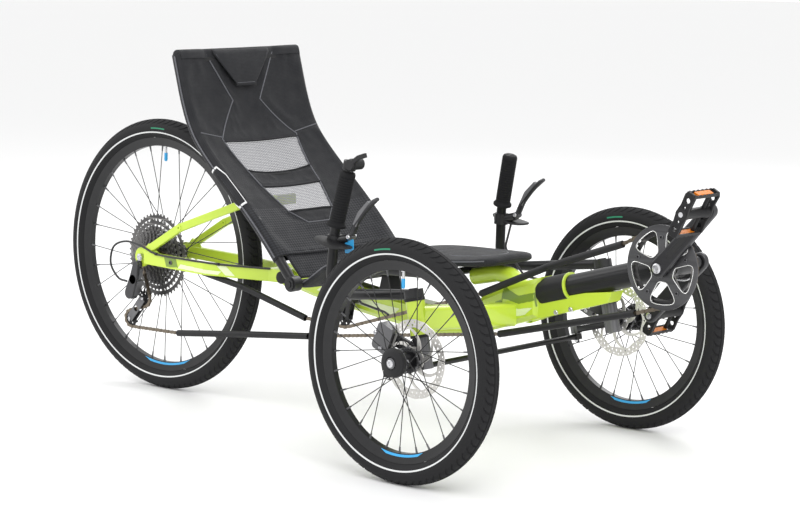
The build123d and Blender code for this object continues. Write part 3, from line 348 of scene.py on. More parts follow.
camera_data = bpy.data.cameras.new("camera")
camera_data.lens = 108.2
camera_data.sensor_width = 36.0
camera = bpy.data.objects.new("camera", camera_data)
bpy.context.scene.collection.objects.link(camera)
bpy.context.scene.camera = camera
yaw, pitch, roll = math.radians(42.11), math.radians(7.84), math.radians(0.22)
look = Vector((-math.sin(yaw) * math.cos(pitch), math.cos(yaw) * math.cos(pitch), -math.sin(pitch)))
camera_place = Vector((rear_x + 4.243, -3.854, 1.085))
camera.location = camera_place
aimed = look.to_track_quat("-Z", "Y")
camera.rotation_euler = (aimed @ Matrix.Rotation(roll, 4, "Z").to_quaternion()).to_euler()

floor_mesh = bpy.data.meshes.new("floor")
floor_mesh.from_pydata([(-30, -30, 0), (30, -30, 0), (30, 30, 0), (-30, 30, 0)], [], [(0, 1, 2, 3)])
floor = bpy.data.objects.new("floor", floor_mesh)
bpy.context.scene.collection.objects.link(floor)
floor_material, floor_tree, floor_shader = new_material("pale_floor")
floor_shader.inputs["Base Color"].default_value = (0.86, 0.86, 0.86, 1)
floor_shader.inputs["Roughness"].default_value = 0.6
floor_mesh.materials.append(floor_material)

world = bpy.data.worlds.new("studio")
bpy.context.scene.world = world
world.use_nodes = True
world.node_tree.nodes["Background"].inputs["Color"].default_value = (1, 1, 1, 1)
world.node_tree.nodes["Background"].inputs["Strength"].default_value = 1.05
bpy.context.scene.view_settings.view_transform = "Standard"

for name, place, power, size in (
    ("key_light", (3.5, -3.0, 4.2), 160, 3.5),
    ("fill_light", (-3.5, -2.0, 3.0), 60, 3.0),
    ("rim_light", (-1.0, 4.0, 3.5), 90, 3.0),
):
    lamp = bpy.data.lights.new(name, "AREA")
    lamp.energy = power
    lamp.size = size
    lamp_object = bpy.data.objects.new(name, lamp)
    bpy.context.scene.collection.objects.link(lamp_object)
    aim(lamp_object, place, (0, 0, 0.4))

# ---------------------------------------------------------------- shaping tools

tau = 2 * math.pi


def front_point(dx, y, z):
    """A point measured from the front axle's station, in metres."""
    return Vector((front_x + dx, y, z))


def rear_point(dx, y, z):
    """A point measured from the rear axle's station, in metres."""
    return Vector((rear_x + dx, y, z))


def in_wheel(centre, radius, degrees, y=0.0):
    """A point at a radius and angle round a Y axis; 0 is forward and 90 is up."""
    angle = math.radians(degrees)
    return Vector((centre.x + radius * math.cos(angle), centre.y + y, centre.z + radius * math.sin(angle)))


class Shape:
    """Points and faces gathered into one piece, each face with the number of its finish."""

    def __init__(self):
        self.points = []
        self.faces = []
        self.marks = []

    def rows(self, rows, ring_of_rows=False, ring_of_points=True, mark=0):
        """Quads between rows of points; mark is a number or a function of row and column."""
        base = len(self.points)
        count = len(rows[0])
        for row in rows:
            self.points.extend(row)
        for i in range(len(rows) if ring_of_rows else len(rows) - 1):
            below = base + i * count
            above = base + (i + 1) % len(rows) * count
            for j in range(count if ring_of_points else count - 1):
                k = (j + 1) % count
                self.faces.append((below + j, below + k, above + k, above + j))
                self.marks.append(mark(i, j) if callable(mark) else mark)
        return base

    def face(self, indices, mark=0):
        self.faces.append(tuple(indices))
        self.marks.append(mark)

    def tube(self, path, radius, sides=12, closed=False, mark=0):
        """A round bar along a path; radius is one number or one for each point."""
        path = [Vector(p) for p in path]
        radii = radius if isinstance(radius, (list, tuple)) else [radius] * len(path)
        normal = None
        rows = []
        for index, point in enumerate(path):
            before = path[index - 1] if index or closed else point
            after = path[(index + 1) % len(path)] if index < len(path) - 1 or closed else point
            direction = (after - before).normalized()
            if normal is None:
                normal = direction.orthogonal().normalized()
            normal = (normal - direction * normal.dot(direction)).normalized()
            side = direction.cross(normal)
            angles = [tau * k / sides for k in range(sides)]
            rows.append([
                point + (normal * math.cos(a) + side * math.sin(a)) * radii[index] for a in angles
            ])
        base = self.rows(rows, ring_of_rows=closed, mark=mark)
        if not closed:
            self.face(range(base, base + sides), mark)
            last = base + (len(rows) - 1) * sides
            self.face(range(last, last + sides), mark)

    def turned(self, profile, centre, axis, sides=40, closed=False, mark=0):
        """A profile of (radius, offset along the axis) turned about the axis."""
        axis = Vector(axis).normalized()
        across = axis.orthogonal().normalized()
        up = axis.cross(across)
        rows = []
        for k in range(sides):
            out = across * math.cos(tau * k / sides) + up * math.sin(tau * k / sides)
            rows.append([Vector(centre) + out * r + axis * o for r, o in profile])
        self.rows(rows, ring_of_rows=True, ring_of_points=closed, mark=mark)

    def slab(self, outline, place, thickness, mark=0):
        """An outline of (u, v) points in the place's XY plane, with an even thickness."""
        count = len(outline)
        base = len(self.points)
        for w in (-thickness / 2, thickness / 2):
            self.points.extend(place @ Vector((u, v, w)) for u, v in outline)
        for j in range(count):
            k = (j + 1) % count
            self.face((base + j, base + k, base + count + k, base + count + j), mark)
        self.face(range(base, base + count), mark)
        self.face(range(base + count, base + 2 * count), mark)

    def plate(self, outlines, place, thickness, bevel=0.0002, mark=0):
        """A flat plate whose first outline is its edge and whose others are holes."""
        curve = bpy.data.curves.new("outline", "CURVE")
        curve.dimensions = "2D"
        curve.fill_mode = "BOTH"
        curve.extrude = thickness / 2 - bevel
        curve.bevel_depth = bevel
        curve.bevel_resolution = 0
        for outline in outlines:
            spline = curve.splines.new("POLY")
            spline.points.add(len(outline) - 1)
            for point, (u, v) in zip(spline.points, outline):
                point.co = (u, v, 0, 1)
            spline.use_cyclic_u = True
        holder = bpy.data.objects.new("outline", curve)
        mesh = bpy.data.meshes.new_from_object(holder)
        base = len(self.points)
        self.points.extend(place @ v.co for v in mesh.vertices)
        for polygon in mesh.polygons:
            self.face([base + v for v in polygon.vertices], mark)
        bpy.data.objects.remove(holder)
        bpy.data.curves.remove(curve)
        bpy.data.meshes.remove(mesh)


def side_place(centre):
    """A placement for side-view outlines: u is X, v is Z, and the thickness is along Y."""
    return Matrix.Translation(centre) @ Matrix(((1, 0, 0, 0), (0, 0, -1, 0), (0, 1, 0, 0), (0, 0, 0, 1)))


def axes_place(centre, u, v):
    """A placement whose outline axes are the directions u and v."""
    u = Vector(u).normalized()
    v = (Vector(v) - u * u.dot(Vector(v))).normalized()
    w = u.cross(v)
    return Matrix.Translation(centre) @ Matrix((u, v, w)).transposed().to_4x4()


def circle(radius, count=32, centre=(0.0, 0.0), stretch=1.0, turn=0.0):
    """The points of a circle, or of an ellipse turned by an angle in degrees."""
    lean = math.radians(turn)
    points = []
    for k in range(count):
        u = radius * math.cos(tau * k / count)
        v = radius * stretch * math.sin(tau * k / count)
        points.append((
            centre[0] + u * math.cos(lean) - v * math.sin(lean),
            centre[1] + u * math.sin(lean) + v * math.cos(lean),
        ))
    return points


def rounded(width, height, radius, steps=4, centre=(0.0, 0.0)):
    """The points of a rectangle with round corners."""
    points = []
    corners = ((1, 1, 0), (-1, 1, 90), (-1, -1, 180), (1, -1, 270))
    for sx, sy, start in corners:
        for k in range(steps + 1):
            angle = math.radians(start + 90 * k / steps)
            u = sx * (width / 2 - radius) + radius * math.cos(angle)
            v = sy * (height / 2 - radius) + radius * math.sin(angle)
            points.append((centre[0] + u, centre[1] + v))
    return points


def capsule(start, start_radius, end, end_radius, steps=10):
    """The outline round two circles of different size."""
    heading = math.atan2(end[1] - start[1], end[0] - start[0])
    points = []
    for (x, y), radius, first in (
        (end, end_radius, heading - math.pi / 2), (start, start_radius, heading + math.pi / 2)
    ):
        for k in range(steps + 1):
            angle = first + math.pi * k / steps
            points.append((x + radius * math.cos(angle), y + radius * math.sin(angle)))
    return points


def toothed(root, tip, teeth, turn=0.0):
    """The outline of a toothed wheel."""
    points = []
    for tooth in range(teeth):
        for share, radius in ((0.0, root), (0.22, root), (0.40, tip), (0.56, tip), (0.78, root)):
            angle = tau * (tooth + share) / teeth + math.radians(turn)
            points.append((radius * math.cos(angle), radius * math.sin(angle)))
    return points


def smooth_path(points, steps=6):
    """A smooth line through points, by Catmull and Rom's rule."""
    points = [Vector(p) for p in points]
    padded_points = [points[0] * 2 - points[1]] + points + [points[-1] * 2 - points[-2]]
    line = []
    for index in range(1, len(padded_points) - 2):
        a, b, c, d = padded_points[index - 1:index + 3]
        for k in range(steps):
            t = k / steps
            curve = (2 * a - 5 * b + 4 * c - d) * t * t
            line.append(0.5 * (2 * b + (c - a) * t + curve + (3 * b - a - 3 * c + d) * t * t * t))
    line.append(points[-1])
    return line


def piece(name, shape, materials, body, stands_for=(), crease=38, bevel=0.0, segments=2, levels=0):
    """Turn a shape into a piece that rides on a body and takes its finish from a slot."""
    mesh = bpy.data.meshes.new(name)
    mesh.from_pydata([tuple(p) for p in shape.points], [], shape.faces)
    mesh.polygons.foreach_set("material_index", shape.marks)
    work = bmesh.new()
    work.from_mesh(mesh)
    bmesh.ops.remove_doubles(work, verts=work.verts, dist=1e-6)
    bmesh.ops.dissolve_degenerate(work, edges=work.edges, dist=1e-7)
    bmesh.ops.recalc_face_normals(work, faces=work.faces)
    work.to_mesh(mesh)
    work.free()
    for material in materials if isinstance(materials, (list, tuple)) else (materials,):
        mesh.materials.append(material)
    mesh.polygons.foreach_set("use_smooth", [True] * len(mesh.polygons))
    mesh.set_sharp_from_angle(angle=math.radians(crease))
    made = bpy.data.objects.new(name, mesh)
    bpy.context.scene.collection.objects.link(made)
    if bevel:
        edge = made.modifiers.new("edges", "BEVEL")
        edge.width = bevel
        edge.segments = segments
        edge.limit_method = "ANGLE"
        edge.angle_limit = math.radians(35)
    if levels:
        finer = made.modifiers.new("finer", "SUBSURF")
        finer.levels = finer.render_levels = levels
    if body:
        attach(made, body)
    if stands_for:
        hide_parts(*stands_for)
    return made


def bolt(shape, centre, axis, radius=0.004, height=0.003, mark=0):
    """A round bolt head with a hexagon socket."""
    axis = Vector(axis).normalized()
    profile = [
        (0.0001, -0.001),
        (radius, -0.001),
        (radius, height * 0.75),
        (radius * 0.85, height),
        (radius * 0.5, height),
        (radius * 0.45, height * 0.35),
        (0.0001, height * 0.35),
    ]
    shape.turned(profile, centre, axis, sides=18, mark=mark)


# ---------------------------------------------------------------- wheels

section_radius = 0.0235


def make_tyre(name, node, body, centre, radius, mark_at):
    """Raised tread blocks, a reflective stripe and a short green mark on each wall."""
    ring = radius - section_radius
    blocks = round(tau * radius / 0.0195)
    tread = (-54, -46, -38, -30, -22, -14, -11, -8, 0, 8, 11, 14, 22, 30, 38, 46, 54)
    wall = (62, 72, 80, 88, 96, 104, 112, 124, 136, 148)
    outer = [-a for a in reversed(wall)] + list(tread) + list(wall)
    inner = [148, 90, 0, -90, -148]
    tread_depth = {
        8: 0.0, 11: 0.0016, 14: 0.0016, 22: 0.0017, 30: 0.0017, 38: 0.0016, 46: 0.0014, 54: 0.0010
    }
    columns = []
    rows = []
    for block in range(blocks):
        for share, groove in ((0.0, False), (0.38, False), (0.74, False), (0.80, True), (0.94, True)):
            turn = tau * (block + share) / blocks
            columns.append(math.degrees(turn) % 360)
            row = []
            for angle in outer:
                reach = min(abs(angle), 62)
                across = math.radians(reach) * section_radius
                lean = (0.75 * across + 0.0022 * math.sin(across / 0.0032)) / radius
                depth = tread_depth.get(abs(angle), 0.0) if groove or abs(angle) == 11 else 0.0
                stripe = 0.0003 if abs(angle) in (104, 112) else 0.0
                reach_out = section_radius - depth + stripe
                place = math.degrees(turn + lean)
                across_y = reach_out * math.sin(math.radians(angle))
                row.append(in_wheel(
                    centre, ring + reach_out * math.cos(math.radians(angle)), place, across_y
                ))
            for angle in inner:
                across_y = (section_radius - 0.003) * math.sin(math.radians(angle))
                reach_in = ring + (section_radius - 0.003) * math.cos(math.radians(angle))
                row.append(in_wheel(centre, reach_in, math.degrees(turn), across_y))
            rows.append(row)

    def finish_of(i, j):
        if j >= len(outer) - 1:
            return 1
        low, high = sorted((abs(outer[j]), abs(outer[j + 1])))
        if low == 104 and high == 112:
            return 2
        near = abs((columns[i] - mark_at + 180) % 360 - 180)
        if low == 80 and high == 88 and near < 3.0 * 0.4 / radius * 1.2:
            return 3
        return 1 if low >= 54 else 0

    shape = Shape()
    shape.rows(rows, ring_of_rows=True, mark=finish_of)
    piece(
        name, shape, [tyre_rubber, tyre_side, reflex_band, green_mark], body, [node],
        crease=34
    )


def make_rim_details(name, body, centre, radius, count, flange_ys, flange_radius):
    """Spoke nipples, the valve and the coloured mark on a rim."""
    edge = radius - 0.044
    base = edge - 0.020
    nipples = Shape()
    crossing = 360 / count * 2.5
    for index in range(count):
        flange_y = flange_ys[index % 2]
        leading = 1 if index % 4 < 2 else -1
        rim_angle = index * 360 / count
        hub_angle = rim_angle + leading * (crossing + 20)
        outward = 0.003 if flange_y > centre.y else -0.003
        rim_end = in_wheel(centre, base - 0.0002, rim_angle, outward)
        hub_end = in_wheel(centre, flange_radius, hub_angle, flange_y - centre.y + leading * 0.003)
        toward = (hub_end - rim_end).normalized()
        path = [rim_end - toward * 0.0005, rim_end + toward * 0.003, rim_end + toward * 0.012]
        nipples.tube(path, [0.0026, 0.0020, 0.0017], sides=8)
        nipples.tube([hub_end + toward * 0.001, hub_end - toward * 0.006], [0.0024, 0.0013], sides=8)
    piece(f"spoke_nipples_{name}", nipples, black_alloy, body)

    valve = Shape()
    foot = in_wheel(centre, base + 0.002, 88)
    tip = in_wheel(centre, base - 0.034, 88)
    inward = (tip - foot).normalized()
    stem = [(0.0001, 0), (0.0052, 0), (0.0052, 0.004), (0.0032, 0.005), (0.0032, 0.020), (0.0001, 0.020)]
    cap = [(0.0001, 0.018), (0.0040, 0.018), (0.0042, 0.034), (0.0030, 0.038), (0.0001, 0.038)]
    valve.turned(stem, foot, inward, sides=16, mark=0)
    valve.turned(cap, foot, inward, sides=16, mark=1)
    piece(f"valve_{name}", valve, [bright_steel, blue_mark], body)

    mark = Shape()
    for side in (-1, 1):
        rows = []
        for k in range(25):
            place = 256 + k * 1.45
            lift = 0.0004 * side
            taper = min(1.0, k / 3, (24 - k) / 3)
            row = []
            for share, rise in (
                (0.10, 0.0), (0.10, lift), (0.10 + 0.24 * max(taper, 0.1), lift),
                (0.10 + 0.24 * max(taper, 0.1), 0.0)
            ):
                y = side * (0.007 + 0.0055 * share) + rise
                row.append(in_wheel(centre, base + 0.020 * share, place, y))
            rows.append(row)
        base_index = mark.rows(rows)
        mark.face(range(base_index, base_index + 4))
        mark.face(range(base_index + 24 * 4, base_index + 24 * 4 + 4))
    piece(f"rim_mark_{name}", mark, blue_mark, body)


def make_front_hub_details(side_name, side):
    """Hub cap, axle end, rotor bolts and the drilled rotor with curved arms."""
    body = f"wheel_front_{side_name}"
    centre = front_axle[side_name]
    outward = Vector((0, side, 0))
    hub_low, hub_high = corner(f"hub_front_{side_name}")
    face_y = side * max(abs(hub_low.y), abs(hub_high.y))
    cap = Shape()
    profile = [
        (0.0125, -0.010), (0.0290, -0.010), (0.0300, -0.006), (0.0285, 0.0010), (0.0225, 0.0042),
        (0.0140, 0.0052), (0.0128, 0.0040), (0.0125, -0.010),
    ]
    cap.turned(profile, Vector((centre.x, face_y, centre.z)), outward, sides=56)
    piece(f"hub_cap_{side_name}", cap, black_plastic, body)

    knuckle_low, knuckle_high = corner(f"knuckle_{side_name}")
    end_y = side * max(abs(knuckle_low.y), abs(knuckle_high.y))
    axle_end = Shape()
    bolt(axle_end, Vector((centre.x, end_y, centre.z)), outward, radius=0.0078, height=0.0025)
    piece(f"axle_bolt_{side_name}", axle_end, bright_steel, f"steering_{side_name}")

    rotor_low, rotor_high = corner(f"rotor_{side_name}")
    rotor_middle = (rotor_low.y + rotor_high.y) / 2
    rotor_radius = (rotor_high.x - rotor_low.x) / 2
    place = side_place(Vector((centre.x, rotor_middle, centre.z)))
    rotor = Shape()
    edge = []
    for k in range(216):
        scallop = 0.0012 * (1 - abs(math.sin(tau * k / 216 * 9)))
        angle = tau * k / 216
        edge.append((
            (rotor_radius - scallop) * math.cos(angle), (rotor_radius - scallop) * math.sin(angle)
        ))
    inside = []
    for k in range(144):
        angle = tau * k / 144
        reach = rotor_radius - 0.0175 + 0.0016 * math.sin(9 * angle)
        inside.append((reach * math.cos(angle), reach * math.sin(angle)))
    holes = [inside]
    for k in range(36):
        turn = tau * k / 36
        for radius, size, lag in ((rotor_radius - 0.0048, 0.0021, 0), (rotor_radius - 0.0118, 0.0025, 0.5)):
            angle = turn + lag * tau / 36
            holes.append(circle(size, 10, (radius * math.cos(angle), radius * math.sin(angle))))
    rotor.plate([edge] + holes, place, 0.0019)
    for arm in range(6):
        line = []
        for k in range(9):
            share = k / 8
            angle = tau * arm / 6 + 0.75 * share ** 1.3
            reach = 0.022 + (rotor_radius - 0.0165 - 0.022) * share
            half = 0.0052 - 0.0014 * share
            line.append((reach, angle, half))
        left = [(r * math.cos(a) - h * math.sin(a), r * math.sin(a) + h * math.cos(a)) for r, a, h in line]
        right = [(r * math.cos(a) + h * math.sin(a), r * math.sin(a) - h * math.cos(a)) for r, a, h in line]
        rotor.slab(right + left[::-1], place, 0.00185)
    bolt_holes = [
        circle(0.0026, 10, (0.0185 * math.cos(tau * k / 6), 0.0185 * math.sin(tau * k / 6)))
        for k in range(6)
    ]
    rotor.plate([circle(0.0245, 60), circle(0.0128, 32)] + bolt_holes, place, 0.0019)
    piece(
        f"drilled_rotor_{side_name}", rotor, rotor_steel, body, [f"rotor_{side_name}"],
        crease=30
    )

    bolts = Shape()
    for k in range(6):
        spot = in_wheel(Vector((centre.x, rotor_middle, centre.z)), 0.0185, 60 * k)
        bolt(bolts, spot - outward * 0.001, -outward, radius=0.0036, height=0.0028)
    piece(f"rotor_bolts_{side_name}", bolts, bright_steel, body)


def make_wheels():
    """Tread, nipples, valve and rim mark of each wheel, and the hub cap and rotor of each front wheel."""
    for side_name, side in side_names.items():
        centre = front_axle[side_name]
        low, high = corner(f"tyre_front_{side_name}")
        radius = (high.x - low.x) / 2
        body = f"wheel_front_{side_name}"
        make_tyre(f"tread_front_{side_name}", f"tyre_front_{side_name}", body, centre, radius, 92)
        flanges = (side * 0.3546, side * 0.3894)
        make_rim_details(f"front_{side_name}", body, centre, radius, 28, flanges, 0.026)
        make_front_hub_details(side_name, side)
    low, high = corner("tyre_rear")
    radius = (high.x - low.x) / 2
    make_tyre("tread_rear", "tyre_rear", "wheel_rear", rear_axle, radius, 85)
    make_rim_details("rear", "wheel_rear", rear_axle, radius, 32, (-0.014, 0.033), 0.028)


make_wheels()

# ---------------------------------------------------------------- drive: rings, chain and pedals

chain_pitch = 0.0127
ring_radius = chain_pitch / (2 * math.sin(math.pi / 38))
ring_y = -0.052
drive_y = -0.0549
idler_y = -0.0535
idler = joint_place("idler_spin")
guide = joint_place("guide_pulley_spin")
tension = joint_place("tension_pulley_spin")
pedal_turn = 62.0
crank_pedal = {"right": joint_place("pedal_right_spin"), "left": joint_place("pedal_left_spin")}


def belt_line(start, start_radius, end, end_radius):
    """The side-view run between two pulleys; a positive radius turns anticlockwise."""
    dx, dz = end[0] - start[0], end[1] - start[1]
    heading = math.atan2(dz, dx) - math.asin((end_radius - start_radius) / math.hypot(dx, dz))
    right = (math.sin(heading), -math.cos(heading))
    first = (start[0] + start_radius * right[0], start[1] + start_radius * right[1])
    last = (end[0] + end_radius * right[0], end[1] + end_radius * right[1])
    return first, last


def wrap(centre, radius, arrive, leave):
    """Side-view points of the arc that a chain follows round a wheel."""
    first = math.atan2(arrive[1] - centre[1], arrive[0] - centre[0])
    last = math.atan2(leave[1] - centre[1], leave[0] - centre[0])
    turn = (last - first) % tau if radius > 0 else -((first - last) % tau)
    steps = max(4, int(abs(turn) / 0.08))
    reach = abs(radius)
    return [
        (
            centre[0] + reach * math.cos(first + turn * k / steps),
            centre[1] + reach * math.sin(first + turn * k / steps)
        )
        for k in range(steps + 1)
    ]


def link_pins(line):
    """Pins one chain pitch apart along a side-view line."""
    pins = [line[0]]
    left = chain_pitch
    for a, b in zip(line, line[1:]):
        run = math.hypot(b[0] - a[0], b[1] - a[1])
        done = 0.0
        while run - done >= left:
            done += left
            pins.append((a[0] + (b[0] - a[0]) * done / run, a[1] + (b[1] - a[1]) * done / run))
            left = chain_pitch
        left -= run - done
    return pins


def make_chain(name, body, lines, plane_y, stands_for):
    """Inner and outer links with rollers and pin heads."""
    shape = Shape()
    for line in lines:
        pins = link_pins(line)
        for index, (a, b) in enumerate(zip(pins, pins[1:])):
            outer = index % 2 == 0
            along = Vector((b[0] - a[0], 0, b[1] - a[1])).normalized()
            place = axes_place(
                Vector(((a[0] + b[0]) / 2, plane_y, (a[1] + b[1]) / 2)), along, Vector((0, 0, 1))
            )
            half = chain_pitch / 2
            outline = []
            for sign, first in ((1, -90), (-1, 90)):
                for k in range(5):
                    angle = math.radians(first + 45 * k)
                    outline.append((sign * half + 0.0041 * math.cos(angle), 0.0041 * math.sin(angle)))
                outline.append((0.0, sign * 0.0030))
            for side in (-1, 1):
                shift = side * (0.0023 if outer else 0.0015)
                shape.slab(outline, place @ Matrix.Translation((0, 0, shift)), 0.0008)
            spot = Vector((a[0], plane_y, a[1]))
            shape.tube([spot - Vector((0, 0.0030, 0)), spot + Vector((0, 0.0030, 0))], 0.0019, sides=8)
            shape.tube([spot - Vector((0, 0.0011, 0)), spot + Vector((0, 0.0011, 0))], 0.0038, sides=10)
    piece(name, shape, chain_steel, body, stands_for, crease=50)


def at_front(dx, z):
    return (front_x + dx, z)


def at_rear(dx, z):
    return (rear_x + dx, z)


def flat(point):
    return (point.x, point.z)


def make_chains():
    """The chain's three runs, link by link."""
    upper_front = [at_front(0.298, 0.478), at_front(0.108, 0.414), at_front(-0.068, 0.341)]
    lower_front = [at_front(0.331, 0.343), at_front(0.140, 0.298), at_front(-0.018, 0.261)]
    upper_rear = [at_front(-0.579, 0.233), at_rear(0.326, 0.283), at_rear(0.193, 0.304)]
    lower_rear = [at_front(-0.570, 0.193), at_rear(0.320, 0.173), at_rear(0.106, 0.151)]
    ring = flat(bottom_bracket)
    inside = 0.15
    upper_in = tuple(a + (b - a) * inside for a, b in zip(upper_front[0], upper_front[1]))
    lower_in = tuple(a + (b - a) * inside for a, b in zip(lower_front[0], lower_front[1]))
    arrive = belt_line(upper_front[0], 0, ring, -ring_radius)[1]
    leave = belt_line(ring, -ring_radius, lower_front[0], 0)[0]
    front_line = [upper_in, upper_front[0]] + wrap(
        ring, -ring_radius, arrive, leave
    ) + [lower_front[0], lower_in]
    make_chain("chain_links_front", "boom", [front_line], ring_y, ["chain_front"])
    idler_at = flat(idler)
    idler_arrive = belt_line(upper_front[2], 0, idler_at, -0.020)[1]
    idler_leave = belt_line(idler_at, -0.020, upper_rear[0], 0)[0]
    power = [upper_front[2]] + wrap(idler_at, -0.020, idler_arrive, idler_leave) + [upper_rear[0]]
    make_chain(
        "chain_links_middle", "frame", [power, [lower_front[2], lower_rear[0]]], idler_y,
        ["chain_middle"]
    )
    cog = flat(rear_axle)
    cog_arrive = belt_line(upper_rear[2], 0, cog, 0.024)[1]
    cog_leave, guide_arrive = belt_line(cog, 0.024, flat(guide), -0.020)
    guide_leave, tension_arrive = belt_line(flat(guide), -0.020, flat(tension), 0.020)
    tension_leave = belt_line(flat(tension), 0.020, lower_rear[2], 0)[0]
    rear_line = [upper_rear[1], upper_rear[2]] + wrap(cog, 0.024, cog_arrive, cog_leave)
    rear_line += wrap(flat(guide), -0.020, guide_arrive, guide_leave)
    rear_line += wrap(flat(tension), 0.020, tension_arrive, tension_leave) + [lower_rear[2], lower_rear[1]]
    make_chain("chain_links_rear", "rear_frame", [rear_line], drive_y, ["chain_rear"])


def make_toothed_wheel(name, body, centre, teeth, stands_for, material):
    """A chain wheel with teeth, lightening holes and a bearing."""
    radius = chain_pitch / (2 * math.sin(math.pi / teeth))
    shape = Shape()
    holes = [circle(0.0045, 24)]
    holes += [
        circle(0.0026, 12, (0.0115 * math.cos(tau * k / 5), 0.0115 * math.sin(tau * k / 5)))
        for k in range(5)
    ]
    shape.plate([toothed(radius - 0.0035, radius + 0.0022, teeth)] + holes, side_place(centre), 0.0020)
    collar = [
        (0.0030, -0.0046), (0.0070, -0.0046), (0.0078, -0.0030), (0.0078, 0.0030), (0.0070, 0.0046),
        (0.0030, 0.0046)
    ]
    shape.turned(collar, centre, (0, 1, 0), sides=28, closed=True)
    piece(name, shape, material, body, stands_for)


def make_cassette():
    """Twelve toothed sprockets, cut out to arms where they are large, and the lock ring."""
    shape = Shape()
    teeth_counts = (11, 13, 15, 17, 19, 22, 25, 28, 32, 36, 42, 50)
    spin = 0.0
    for index, teeth in enumerate(teeth_counts):
        share = index / 11
        radius = min(chain_pitch / (2 * math.sin(math.pi / teeth)), 0.0985)
        y = -0.059 + index * 0.0033 + 0.0008
        place = side_place(Vector((rear_axle.x, y, rear_axle.z)))
        spin += 9.0
        edge = toothed(radius - 0.0035, radius + 0.0018, teeth, spin)
        if radius > 0.052:
            inner = radius - 0.0115
            holes = [circle(inner, 60)]
            shape.plate([edge] + holes, place, 0.0017)
            for arm in range(6):
                angle = tau * arm / 6 + 0.5 * share
                root = (0.017 * math.cos(angle), 0.017 * math.sin(angle))
                tip = ((inner + 0.001) * math.cos(angle + 0.25), (inner + 0.001) * math.sin(angle + 0.25))
                shape.slab(capsule(root, 0.0055, tip, 0.0040, steps=4), place, 0.0016)
        else:
            holes = [circle(0.0145, 32)]
            if radius > 0.036:
                gap = (radius + 0.0115) / 2
                for k in range(8):
                    spot = (gap * math.cos(tau * k / 8 + share), gap * math.sin(tau * k / 8 + share))
                    holes.append(circle(0.0042, 12, spot))
            shape.plate([edge] + holes, place, 0.0017)
    core = [(0.0056, -0.0620), (0.0150, -0.0620), (0.0168, -0.0605), (0.0168, -0.0215), (0.0056, -0.0215)]
    shape.turned(core, Vector((rear_axle.x, 0, rear_axle.z)), (0, 1, 0), sides=40, closed=True)
    for k in range(12):
        spot = in_wheel(rear_axle, 0.0125, 30 * k, -0.0622)
        shape.tube([spot, spot - Vector((0, 0.0012, 0))], 0.0016, sides=8)
    piece("sprocket_stack", shape, cog_steel, "cassette", ["cassette"])


def make_chainring():
    """Toothed ring on a five-armed spider, and the guard in front of it."""
    ring_place = side_place(Vector((bottom_bracket.x, ring_y, bottom_bracket.z)))
    shape = Shape()
    shape.plate(
        [toothed(ring_radius - 0.0036, ring_radius + 0.0022, 38), circle(ring_radius - 0.0125, 90)],
        ring_place, 0.0020
    )
    for k in range(5):
        angle = math.radians(20 + 72 * k)
        root = (0.020 * math.cos(angle), 0.020 * math.sin(angle))
        tip = (0.066 * math.cos(angle), 0.066 * math.sin(angle))
        shape.slab(capsule(root, 0.0115, tip, 0.0062, steps=6), ring_place, 0.0032)
    shape.plate([circle(0.027, 48), circle(0.0152, 32)], ring_place, 0.0040)
    piece(
        "toothed_ring", shape, cog_steel, "cranks", ["chainring"], bevel=0.0003,
        segments=1
    )

    guard_place = side_place(Vector((bottom_bracket.x, ring_y - 0.006, bottom_bracket.z)))
    half_window = [
        (0.0275, 0.0), (0.0300, 0.0105), (0.0420, 0.0190), (0.0540, 0.0262), (0.0625, 0.0290),
        (0.0690, 0.0265), (0.0722, 0.0170), (0.0735, 0.0)
    ]
    window_corners = half_window + [(u, -v) for u, v in reversed(half_window[1:-1])]
    window_corners.append(window_corners[0])
    windows = []
    for k in range(5):
        angle = math.radians(56 + 72 * k)
        window = []
        for u, v in smooth_path(window_corners, 5):
            window.append((
                u * math.cos(angle) - v * math.sin(angle), u * math.sin(angle) + v * math.cos(angle)
            ))
        windows.append(window)
    guard = Shape()
    guard.plate([circle(0.084, 120), circle(0.0172, 40)] + windows, guard_place, 0.0030, bevel=0.0006)
    piece("guard_disc", guard, black_alloy, "cranks", ["chain_guard"])
    edging = Shape()
    for window in windows:
        line = [guard_place @ Vector((u, v, 0.0012)) for u, v in window]
        middle = sum(line, Vector()) / len(line)
        line = [middle + (p - middle) * 0.985 for p in line]
        edging.tube(line, 0.0009, sides=8, closed=True)
    piece("guard_edging", edging, silver_edge, "cranks")
    bolts = Shape()
    for k in range(5):
        angle = math.radians(20 + 72 * k)
        spot = guard_place @ Vector((0.060 * math.cos(angle), 0.060 * math.sin(angle), 0.0015))
        bolt(bolts, spot, (0, -1, 0), radius=0.0042, height=0.0022)
        bolts.tube([spot + Vector((0, 0.001, 0)), spot + Vector((0, 0.0085, 0))], 0.0042, sides=16)
    piece("guard_bolts", bolts, black_alloy, "cranks")


